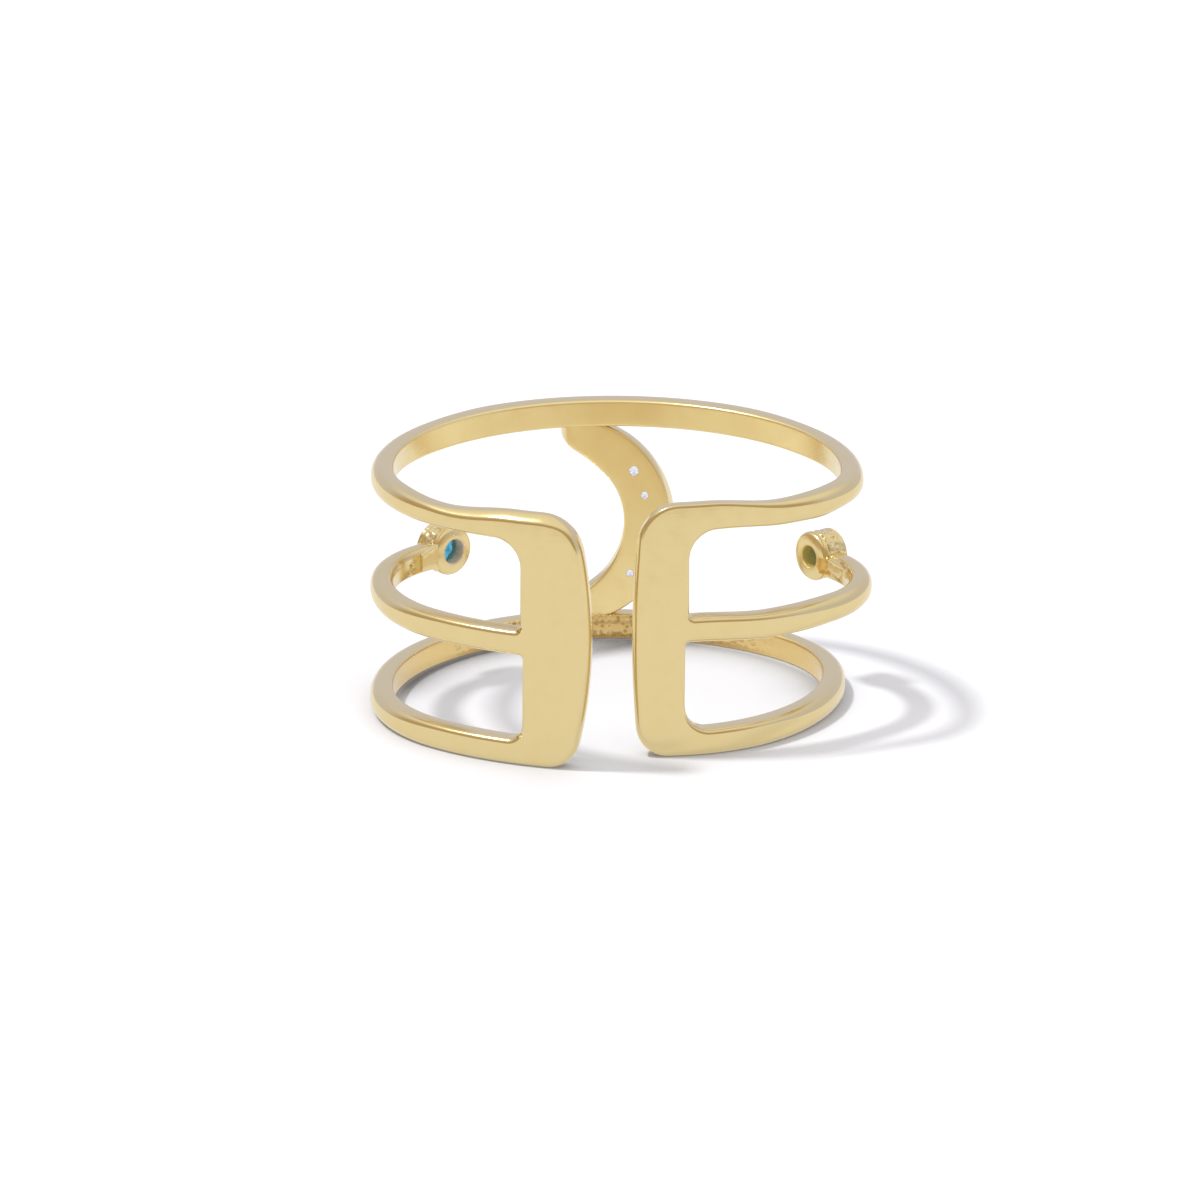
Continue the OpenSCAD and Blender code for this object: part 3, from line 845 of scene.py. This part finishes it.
def brilliant(name, size, deep, centre, facing, material, turn=0.0):
    """A round brilliant: table, stars, kites, upper halves, girdle, lower halves and mains."""
    radius, top, crown, girdle, pavilion = size / 2, -0.02, CROWN * size, GIRDLE * size, deep * size
    level = top - crown
    across, upward, ahead = axes_of(facing)
    verts = []

    def ring(count, first, r, h):
        """Corners round the stone; returns their numbers."""
        for k in range(count):
            a = math.radians(360 / count * k + first + turn)
            verts.append((centre + across * r * math.cos(a) + upward * r * math.sin(a)
                          + ahead * h) * MM)
        return range(len(verts) - count, len(verts))

    table_r, star_r = radius * TABLE, radius * STARS
    half_corner = math.cos(math.radians(22.5))
    star_h = level + crown * (radius - star_r * half_corner) / (radius - table_r)
    tables, stars = ring(8, 0, table_r, top), ring(8, 22.5, star_r, star_h)
    over, under = ring(16, 0, radius, level), ring(16, 0, radius, level - girdle)
    mains = ring(8, 22.5, table_r, level - girdle - pavilion * MAINS)
    culet = ring(1, 0, 0, level - girdle - pavilion)[0]
    faces = [tuple(tables)]
    for k in range(8):
        n, g, j = (k + 1) % 8, 2 * k, (2 * k + 2) % 16
        faces += [(tables[k], stars[k], tables[n]), (tables[k], stars[k - 1], over[g], stars[k]),
                  (stars[k], over[g], over[g + 1]), (stars[k], over[g + 1], over[j]),
                  (mains[k], under[g + 1], under[g]), (mains[k], under[j], under[g + 1]),
                  (culet, mains[k], under[g], mains[k - 1])]
    for k in range(16):
        n = (k + 1) % 16
        faces.append((over[k], under[k], under[n], over[n]))
    stone = new_piece(name, verts, faces)
    stone.data.materials.append(material)
    return stone


# ---------------------------------------------------------------- materials


class Tree:
    """Short ways to add nodes to a tree; each returns the output that carries its result."""

    def __init__(self, tree):
        self.nodes, self.links = tree.nodes, tree.links

    def feed(self, node, values):
        """Links outputs to a node's inputs, or sets their numbers and colours."""
        for key, value in values.items():
            socket = node.inputs[key]
            if isinstance(value, bpy.types.NodeSocket):
                self.links.new(value, socket)
            else:
                socket.default_value = (*value, 1.0) if socket.type == "RGBA" else value

    def node(self, kind, output, inputs, **options):
        """A new node with its options and inputs."""
        node = self.nodes.new("ShaderNode" + kind)
        for key, value in options.items():
            setattr(node, key, value)
        self.feed(node, inputs)
        return node.outputs[output]

    def math(self, operation, a, b=0.0):
        return self.node("Math", 0, {0: a, 1: b}, operation=operation)

    def chain(self, operation, values):
        """The same sum or product over several values, from the first on."""
        result = values[0]
        for value in values[1:]:
            result = self.math(operation, result, value)
        return result

    def times(self, *values):
        return self.chain("MULTIPLY", values)

    def plus(self, *values):
        return self.chain("ADD", values)

    def most(self, *values):
        return self.chain("MAXIMUM", values)

    def vector(self, operation, a, b=(0.0, 0.0, 0.0), output=0):
        return self.node("VectorMath", output, {0: a, 1: b}, operation=operation)

    def noise(self, vector, scale, detail=2.0, rough=0.5):
        return self.node("TexNoise", "Fac", {"Vector": vector, "Scale": scale, "Detail": detail,
                                             "Roughness": rough})

    def ramp(self, value, low, high):
        """Maps a value between two limits to 0 and 1, with soft ends."""
        return self.node("MapRange", "Result", {"Value": value, "From Min": low, "From Max": high},
                         interpolation_type="SMOOTHSTEP")

    def mix(self, factor, a, b):
        """A colour between a and b."""
        return self.node("Mix", "Result", {"Factor": factor, "A": a, "B": b}, data_type="RGBA")

    def bump(self, height, distance, **more):
        return self.node("Bump", "Normal", {"Height": height, "Distance": distance, **more})

    def axes(self, place):
        """The X, Y and Z of a place."""
        split = self.nodes.new("ShaderNodeSeparateXYZ")
        self.feed(split, {0: place})
        return split.outputs

    def effect(self, name, place, values):
        """A shared effect with its own values."""
        node = self.nodes.new("ShaderNodeGroup")
        node.node_tree = shared_group(name)
        self.feed(node, {"Vector": place, **values})
        return node.outputs


def hand_polish(t, given):
    """Slow waves left by hand polishing, as a height, and patches of duller metal, as a mask."""
    patch = t.noise(given["Vector"], given["Patch Scale"], 4.0, 0.6)
    return (t.noise(given["Vector"], given["Wave Scale"], 1.0), t.ramp(patch, 0.4, 0.75))


def fine_scratches(t, given):
    """Hair-fine polishing lines round the ring, as a mask."""
    stretched = t.vector("MULTIPLY", given["Vector"], (6.0, 6.0, 220.0))
    return (t.ramp(t.noise(stretched, given["Scale"], 3.0, 0.7), 0.56, 0.7),)


def cast_skin(t, given):
    """Grains of metal that was cast and not polished, as a height, and its pits, as a mask."""
    grain = t.noise(given["Vector"], given["Scale"], 3.0, 0.6)
    cells = t.node("TexVoronoi", "Distance", {"Vector": given["Vector"], "Scale": 4800.0})
    pits = t.ramp(cells, 0.5, 0.15)
    return (t.math("SUBTRACT", grain, pits), pits)


EFFECTS = {
    "Hand Polish": (hand_polish, {"Wave Scale": 400.0, "Patch Scale": 900.0},
                    ("Height", "Dull Patches")),
    "Fine Scratches": (fine_scratches, {"Scale": 60.0}, ("Lines",)),
    "Cast Skin": (cast_skin, {"Scale": 5000.0}, ("Height", "Pits")),
}


def shared_group(name):
    """The node group of an effect, made when it is first used."""
    if name in bpy.data.node_groups:
        return bpy.data.node_groups[name]
    build, numbers, results = EFFECTS[name]
    group = bpy.data.node_groups.new(name, "ShaderNodeTree")
    group.interface.new_socket(name="Vector", in_out="INPUT", socket_type="NodeSocketVector")
    for label, value in numbers.items():
        socket = group.interface.new_socket(name=label, in_out="INPUT",
                                            socket_type="NodeSocketFloat")
        socket.default_value = value
    for label in results:
        group.interface.new_socket(name=label, in_out="OUTPUT", socket_type="NodeSocketFloat")
    t = Tree(group)
    start, end = t.nodes.new("NodeGroupInput"), t.nodes.new("NodeGroupOutput")
    t.feed(end, dict(zip(results, build(t, start.outputs))))
    return group


def new_material(name):
    """A material, its tree, its shader and its object coordinates."""
    material = bpy.data.materials.new(name)
    material.use_nodes = True
    t = Tree(material.node_tree)
    return material, t, t.nodes["Principled BSDF"], t.node("TexCoord", "Object", {})


def gold_material(metal):
    """Polished gold plating with soft waves, fine lines, a cast skin low inside the band, and
    painted light and shade.
    """
    material, t, shader, place = new_material("Polished Gold")
    polish = t.effect("Hand Polish", place, {"Wave Scale": 420.0, "Patch Scale": 1500.0})
    scratch = t.effect("Fine Scratches", place, {"Scale": 55.0})
    cast = t.effect("Cast Skin", place, {"Scale": 9500.0})
    x, y, z = t.axes(place)
    plan = t.node("CombineXYZ", 0, {"X": x, "Y": y})
    from_axis = t.vector("LENGTH", plan, output="Value")
    low = t.ramp(z, *LOW)
    raw = t.times(low, t.ramp(from_axis, *INSIDE), t.ramp(y, *BACK))
    outward = t.vector("NORMALIZE", plan)
    facing = t.vector("DOT_PRODUCT", outward, t.node("NewGeometry", "Normal", {}), "Value")
    inner = t.ramp(facing, -0.3, -0.8)
    # Painted shade: inward faces low on the band are darkened, as if they mirrored the floor's dark
    # contact shadow.
    foot = t.times(inner, low)
    inner = t.times(inner, t.ramp(y, *SATIN))
    deep = t.most(t.times(polish["Dull Patches"], 0.08), t.times(foot, 0.55))
    uneven = t.plus(z, t.times(t.noise(place, 2600.0), 0.0003))
    worn_foot = t.ramp(uneven, *WORN_FOOT)
    from_line = t.math("ABSOLUTE", t.math("SUBTRACT", z, LINE_HEIGHT))
    hollow_line = t.ramp(from_line, *HOLLOW_LINE)
    marks = t.most(t.times(worn_foot, 0.8), t.times(hollow_line, 0.3), t.times(cast["Pits"], 0.6))
    # Painted light: a lighter tone on the inward faces at the back; their satin roughness is real.
    tint = t.mix(inner, metal.gold, metal.gold_inner_lit)
    # Darker gold over random dull patches, and painted shade at the inward faces' foot.
    tint = t.mix(deep, tint, metal.gold_dull_and_shade)
    tint = t.mix(t.times(raw, marks), tint, metal.gold_worn)
    # Painted shade: diffuse rays see the gold darker, so it throws less bounce light and the
    # floor's shadows beside it stay dark and neutral.
    matt = t.times(t.node("LightPath", "Is Diffuse Ray", {}), 0.65)
    rough = t.plus(t.times(polish["Dull Patches"], 0.05), metal.roughness,
                   t.times(scratch["Lines"], 0.05), t.times(raw, 0.1),
                   t.times(inner, metal.satin))
    waves = t.bump(polish["Height"], metal.polish_depth, Strength=0.5)
    grain = t.bump(t.times(cast["Height"], raw), 0.00004, Normal=waves)
    t.feed(shader, {"Base Color": t.mix(matt, tint, BLACK), "Roughness": rough, "Metallic": 1.0,
                    "Normal": grain})
    return material


def rough_material(name, base, metal, metallic):
    """Gold that was drilled or filed and never polished."""
    material, t, shader, place = new_material(name)
    cast = t.effect("Cast Skin", place, {"Scale": 7000.0})
    t.feed(shader, {"Base Color": t.mix(cast["Pits"], base, metal.gold),
                    "Roughness": t.plus(t.times(cast["Pits"], 0.1), 0.55),
                    "Metallic": metallic, "Normal": t.bump(cast["Height"], 0.00001)})
    return material


def stone_material(name, body_colour, pale, roughness):
    """A cut stone: clear, with faint zones of colour."""
    material, t, shader, place = new_material(name)
    zones = t.ramp(t.noise(place, 1800.0), 0.35, 0.65)
    polish = t.effect("Hand Polish", place, {"Wave Scale": 2500.0, "Patch Scale": 4000.0})
    t.feed(shader, {"Base Color": t.mix(zones, body_colour, pale), "IOR": 1.7,
                    "Roughness": t.plus(t.times(polish["Dull Patches"], 0.03), roughness),
                    "Transmission Weight": 1.0})
    return material


# ---------------------------------------------------------------- operators


class RING_OT_band(bpy.types.Operator):
    """Build the gold band: wires, end plates, crescent and stone cups"""
    bl_idname = "ring.band"
    bl_label = "Band"
    bl_options = {"REGISTER", "UNDO"}

    def execute(self, context):
        lay, metal = Layout(context.scene), context.scene.ring_metal
        loops = [closed_loop(lay, edge) for edge in (outer_edge, inner_edge)]
        band = sheet_mesh("band_gold", loops, lay.s.thickness,
                          ((lay.rounding, 13), (lay.inner_rounding, 7)), lay.place, 0.42)
        parts = [self.crescent(lay)]
        for side in lay.sides:
            parts += [self.cup(side), self.web(side)]
        combine(band, parts + self.beads(lay.left), "UNION")
        gold = gold_material(metal)
        # The left bore's paler, less metallic gold is painted light.
        drilled = (rough_material("Drilled Gold Left", metal.gold_bore_lit, metal, 0.1),
                   rough_material("Drilled Gold Right", metal.gold_drilled, metal, 0.6))
        filed = rough_material("Filed Gold", metal.gold_filed, metal, 0.8)
        cuts = [(cut, filed) for cut in self.grooves(lay)]
        cuts += [(cut, gold) for cut in self.notches(lay)]
        for side, material in zip(lay.sides, drilled):
            cuts += [(self.seat(side), material), (self.bore(side), material)]
        for body, material in [(band, gold)] + cuts:
            body.data.materials.clear()
            body.data.materials.append(material)
        combine(band, [cut for cut, _ in cuts], "DIFFERENCE")
        smooth_metal(band)
        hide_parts("band")
        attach(band, "root")
        return {"FINISHED"}

    def seat_size(self, stone):
        """Radius and depth of the seat for a stone, which lies a little below its rim."""
        return stone / 2 + STONE_GAP, SEAT_RIM + SEAT_DEPTH * stone

    def crescent(self, lay):
        """The crescent with its stone seats and drilled holes, as a body of its own."""
        c = lay.c
        thickness = lay.s.thickness - 2 * c.inset
        seat, ledge = self.seat_size(c.stone_size)
        pits = []
        for i in range(c.stone_count):
            middle, facing = lay.moon_frame(i)
            hole = (c.hole_size if i else c.top_hole) / 2
            profile = [(seat + 0.03, 0.0), (seat, 0.03), (seat, ledge),
                       (seat - 0.05, ledge + 0.05), (hole + 0.05, thickness - 0.1),
                       (hole, thickness - 0.06), (hole, thickness - 0.015),
                       (hole + 0.015, thickness)]
            pits.append((lay.s.front * math.asin(facing.x), middle.z, profile))

        def place(u, z, depth):
            return lay.place(u, z, depth + c.inset, crescent=True)

        return sheet_mesh("crescent", [crescent_edge(lay)], thickness,
                          ((c.edge_round, 5), (c.edge_round, 5)), place, 0.3, pits)

    def cup(self, side):
        """A round cup with a back flange and a hammered drum, still without its bore."""
        s = side.s
        outer, waist, back = s.cup_size / 2, s.waist / 2, -s.cup_depth
        ledge, bend = back + s.flange, 0.2
        profile = [(0, 0), (waist - 0.09, 0), (waist - 0.04, -0.01), (waist - 0.01, -0.05)]
        profile += [(waist, -0.09 + (ledge + 0.15) * i / 10) for i in range(11)]
        profile += [(waist - 0.05, ledge + 0.03), (waist - 0.02, ledge), (outer, ledge - 0.03)]
        for phi in np.linspace(0, math.pi / 2, 7):
            profile.append((outer - bend + bend * math.cos(phi),
                            back + 0.22 - bend * math.sin(phi)))
        profile += [(outer - 0.24, back), (0, back)]

        def marks(r, h, turn):
            if abs(r - waist) > 0.001:
                return 0.0
            waves = (math.sin(11 * turn + 9 * h) * math.sin(7 * turn - 17 * h + 1.3)
                     + 0.7 * math.sin(23 * h + 2 * turn) * math.sin(17 * turn))
            return s.hammer * (waves - 0.7) * 0.45

        return turned_piece("cup", profile, *side.cup_frame(), 96, marks)

    def seat(self, side):
        """The shape that is cut out of a cup's front: the stone's seat and a cone behind it."""
        s = side.s
        seat, ledge = self.seat_size(s.side_stone)
        end = s.bore - s.cup_depth - 0.1
        profile = [(0, 0.1), (seat + 0.01, 0.1), (seat, -0.02), (seat, -ledge),
                   (seat - 0.07, -ledge - 0.06), (s.throat / 2, end), (0, end)]
        return turned_piece("seat", profile, *side.cup_frame(), start=0.02)

    def bore(self, side):
        """The straight hole through a cup's back, with its edge broken."""
        s = side.s
        hole, back = s.hole / 2, -s.cup_depth
        profile = [(0, back + s.bore), (hole, back + s.bore), (hole, back + 0.04),
                   (hole + 0.04, back - 0.01), (hole + 0.04, back - 0.1), (0, back - 0.1)]
        return turned_piece("bore", profile, *side.cup_frame(), start=0.035)

    def web(self, side):
        """The flat part of a neck, nearly level with the back of its cup."""
        back, along, facing = side.neck_frame()
        corners, loop = WEBS[side.hand], []
        for p, q in zip(corners, corners[1:] + corners[:1]):
            loop += line(p, q, 0.12)

        def place(u, z, depth):
            return np.array([back + along * a + facing * (d + 0.02) + Vector((0, 0, b))
                             for a, b, d in zip(*np.broadcast_arrays(u, z, depth))])

        return sheet_mesh("web", [np.array(loop)], side.s.web, ((0.04, 4), (0.04, 3)), place, 0.15)

    def grooves(self, lay):
        """Round file cuts across the necks: one beside each web."""
        radius, bevel, cuts = lay.s.groove / 2, 0.03, []
        for side in lay.sides:
            reach, low, high, sink = FILE_CUTS[side.hand]
            back, along, facing = side.neck_frame()
            depth = side.inner_face(reach) - radius + sink
            profile = [(0, high), (radius - bevel, high), (radius, high - bevel),
                       (radius, low + bevel), (radius - bevel, low), (0, low)]
            cuts.append(turned_piece("groove", profile, back + along * reach + facing * depth,
                                     Vector((0, 0.02, 1)), 40))
        return cuts

    def ball(self, name, centre, radius):
        """A small round body."""
        profile = [(radius * math.sin(t), radius * math.cos(t)) for t in np.linspace(0, math.pi, 9)]
        return turned_piece(name, profile, centre, Vector((0, 0.3, 1)), 16)

    def notches(self, lay):
        """Nicks in the left plate, above the ends of the middle and the bottom wire."""
        s, radius, cuts = lay.left.s, lay.s.notch / 2, []
        for x, z in ((s.upper_window, lay.mid_over + 0.1),
                     (s.lower_window - 0.12, s.bottom_height + 0.24)):
            u = -lay.left.plate_u(x) - radius * 0.2
            spot = lay.place([u], [z], [radius * 0.8])[0]
            cuts.append(self.ball("notch", Vector(spot), radius))
        return cuts

    def beads(self, side):
        """Two solder beads where the left web ends."""
        back, along, facing = side.neck_frame()
        beads = []
        for reach, rise in BEADS:
            centre = back + along * reach + facing * (side.inner_face(reach) - 0.04)
            beads.append(self.ball("bead", centre + Vector((0, 0, rise)), side.s.bead / 2))
        return beads


class RING_OT_side_stones(bpy.types.Operator):
    """Cut and set the two blue side stones"""
    bl_idname = "ring.side_stones"
    bl_label = "Side Stones"
    bl_options = {"REGISTER", "UNDO"}

    def execute(self, context):
        lay, metal = Layout(context.scene), context.scene.ring_metal
        blue = stone_material("Blue Stone", metal.blue, metal.blue_pale, 0.02)
        for side, name, deep in zip(lay.sides, ("left", "right"), (0.42, 0.16)):
            stone = brilliant("side_stone_cut_" + name, side.s.side_stone, deep,
                              *side.cup_frame(), blue)
            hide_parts("side_stone_" + name)
            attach(stone, "root")
        return {"FINISHED"}


class RING_OT_moon_stones(bpy.types.Operator):
    """Cut and set the row of small stones in the crescent"""
    bl_idname = "ring.moon_stones"
    bl_label = "Crescent Stones"
    bl_options = {"REGISTER", "UNDO"}

    def execute(self, context):
        lay, metal = Layout(context.scene), context.scene.ring_metal
        white = stone_material("White Stone", metal.white, metal.white_pale, 0.0)
        for i in range(lay.c.stone_count):
            stone = brilliant(f"moon_stone_cut_{i + 1}", lay.c.stone_size, 0.42,
                              *lay.moon_frame(i), white, turn=11.0 * i)
            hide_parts(f"moon_stone_{i + 1}")
            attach(stone, "root")
        return {"FINISHED"}


class RING_OT_stage(bpy.types.Operator):
    """Lay the floor, set the lights and place the camera"""
    bl_idname = "ring.stage"
    bl_label = "Stage"
    bl_options = {"REGISTER", "UNDO"}

    def execute(self, context):
        scene, stage = context.scene, context.scene.ring_stage
        self.floor(stage)
        self.room(scene, stage)
        lamp = bpy.data.lights.new("key", "SUN")
        lamp.energy, lamp.angle = stage.key_strength, stage.key_size
        key = bpy.data.objects.new("key", lamp)
        key.rotation_euler = Vector(stage.key_from).to_track_quat("Z", "Y").to_euler()
        scene.collection.objects.link(key)
        scene.camera = self.camera(stage)
        scene.collection.objects.link(scene.camera)
        scene.view_settings.view_transform = "Standard"
        return {"FINISHED"}

    def floor(self, stage):
        """Pale floor with a painted soft contact shadow inside the far half of the ring, painted
        light in front of it, and a glow that only reflections see.
        """
        half = stage.floor_size / 2
        corners = [(-half, -half, 0), (half, -half, 0), (half, half, 0), (-half, half, 0)]
        floor = new_piece("floor", [Vector(q) for q in corners], [(0, 1, 2, 3)])
        material, t, shader, place = new_material("Pale Floor")
        tint = t.mix(t.noise(place, 900.0, 3.0), stage.floor, [0.99 * v for v in stage.floor])
        # Painted shadow: darkness from ambient occlusion near the ring is mixed into the floor's
        # colour, for camera rays only.
        near = t.node("AmbientOcclusion", "AO", {"Distance": stage.contact_reach}, samples=3)
        shadow = t.math("SUBTRACT", 1.0, t.math("POWER", near, 2.2))
        x, y, _ = t.axes(place)
        inside_ring = t.ramp(t.vector("LENGTH", place, output="Value"), 0.0088, 0.0084)
        far_half = t.ramp(y, 0.0, 0.003)
        weaker = t.math("SUBTRACT", 1.0, t.times(0.5, t.ramp(x, 0.0, 0.005)))
        rays = t.nodes.new("ShaderNodeLightPath").outputs
        seen = rays["Is Camera Ray"]
        painted_shadow = t.times(shadow, t.times(inside_ring, far_half), weaker, seen)
        # Painted reflection: glossy rays see the floor glowing instead of lit, so the metal mirrors
        # it evenly.
        reflection_glow = t.times(rays["Is Glossy Ray"], stage.floor_glow)
        # Painted light: camera rays see the floor in front of the ring glow a little, which
        # lightens its shadows there.
        painted_lift = t.times(seen, t.ramp(y, 0.003, -0.002), stage.shadow_lift)
        t.feed(shader, {"Base Color": t.mix(reflection_glow, t.mix(painted_shadow, tint, BLACK), BLACK),
                        "Emission Color": tint, "Emission Strength": t.plus(reflection_glow, painted_lift),
                        "Roughness": 0.6, "Specular IOR Level": 0.1})
        floor.data.materials.append(material)

    def room(self, scene, stage):
        """Bright room with white overhead, cool far side and a warm dark space in front."""
        scene.world = bpy.data.worlds.new("Studio")
        scene.world.use_nodes = True
        t = Tree(scene.world.node_tree)
        x, y, z = t.axes(t.node("TexCoord", "Generated", {}))
        light = t.mix(t.ramp(z, 0.4, 0.88), stage.far_light, stage.top_light)
        ahead = t.ramp(t.plus(t.times(x, 0.45), y), 0.25, -0.25)
        dark = t.times(ahead, t.ramp(z, 0.85, 0.45))
        matt = t.node("LightPath", "Is Diffuse Ray", {})
        fill = t.plus(t.times(matt, stage.room_fill - 1.0), 1.0)
        t.feed(t.nodes["Background"], {"Color": t.mix(dark, light, stage.near_dark),
                                       "Strength": t.times(fill, stage.room_strength)})

    def camera(self, stage):
        """The camera, turned so that the ring's middle falls on its place in the picture."""
        lens = bpy.data.cameras.new("camera")
        lens.sensor_width = 36.0
        lens.lens = stage.focal / stage.picture * lens.sensor_width
        lens.clip_start, lens.clip_end = 0.01, 10.0
        back = Vector((0, -math.cos(stage.elevation), math.sin(stage.elevation)))
        right = Vector((1, 0, 0))
        up, cos, sin = back.cross(right), math.cos(stage.roll), math.sin(stage.roll)
        turn = Matrix((right * cos + up * sin, up * cos - right * sin, back)).transposed()
        half, (column, row) = stage.picture / 2, stage.aim
        ahead = Vector(((column - half) / stage.focal, (half - row) / stage.focal, -1.0))
        middle = Vector((0, 0, stage.aim_height))
        body = bpy.data.objects.new("camera", lens)
        away = turn @ (ahead.normalized() * stage.distance)
        body.matrix_world = Matrix.Translation(middle - away) @ turn.to_4x4()
        return body


class RING_PT_panel(bpy.types.Panel):
    """Sizes and colours of the ring, with a button for each piece"""
    bl_idname = "RING_PT_panel"
    bl_label = "Adjustable Ring"
    bl_space_type = "VIEW_3D"
    bl_region_type = "UI"
    bl_category = "Ring"

    def draw(self, context):
        for title, name, _, idname in PARTS:
            box, settings = self.layout.box(), getattr(context.scene, name)
            box.label(text=title)
            for key in settings.__annotations__:
                box.prop(settings, key)
            if idname:
                box.operator(idname)


PARTS = (
    ("Wires", "ring_wires", WireSettings, "ring.band"),
    ("End Plates", "ring_plates", PlateSettings, None),
    ("Crescent", "ring_crescent", CrescentSettings, "ring.moon_stones"),
    ("Cups", "ring_cups", CupSettings, "ring.side_stones"),
    ("Metal and Stones", "ring_metal", MetalSettings, None),
    ("Stage", "ring_stage", StageSettings, "ring.stage"),
)
CLASSES = (*(settings for _, _, settings, _ in PARTS), RING_OT_band, RING_OT_side_stones,
           RING_OT_moon_stones, RING_OT_stage, RING_PT_panel)


def register():
    for cls in CLASSES:
        bpy.utils.register_class(cls)
    for _, name, settings, _ in PARTS:
        setattr(bpy.types.Scene, name, PointerProperty(type=settings))


def unregister():
    for _, name, _, _ in PARTS:
        delattr(bpy.types.Scene, name)
    for cls in reversed(CLASSES):
        bpy.utils.unregister_class(cls)


def main():
    """Registers the add-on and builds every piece."""
    register()
    bpy.ops.ring.band()
    bpy.ops.ring.side_stones()
    bpy.ops.ring.moon_stones()
    bpy.ops.ring.stage()


if __name__ == "__main__":
    main()
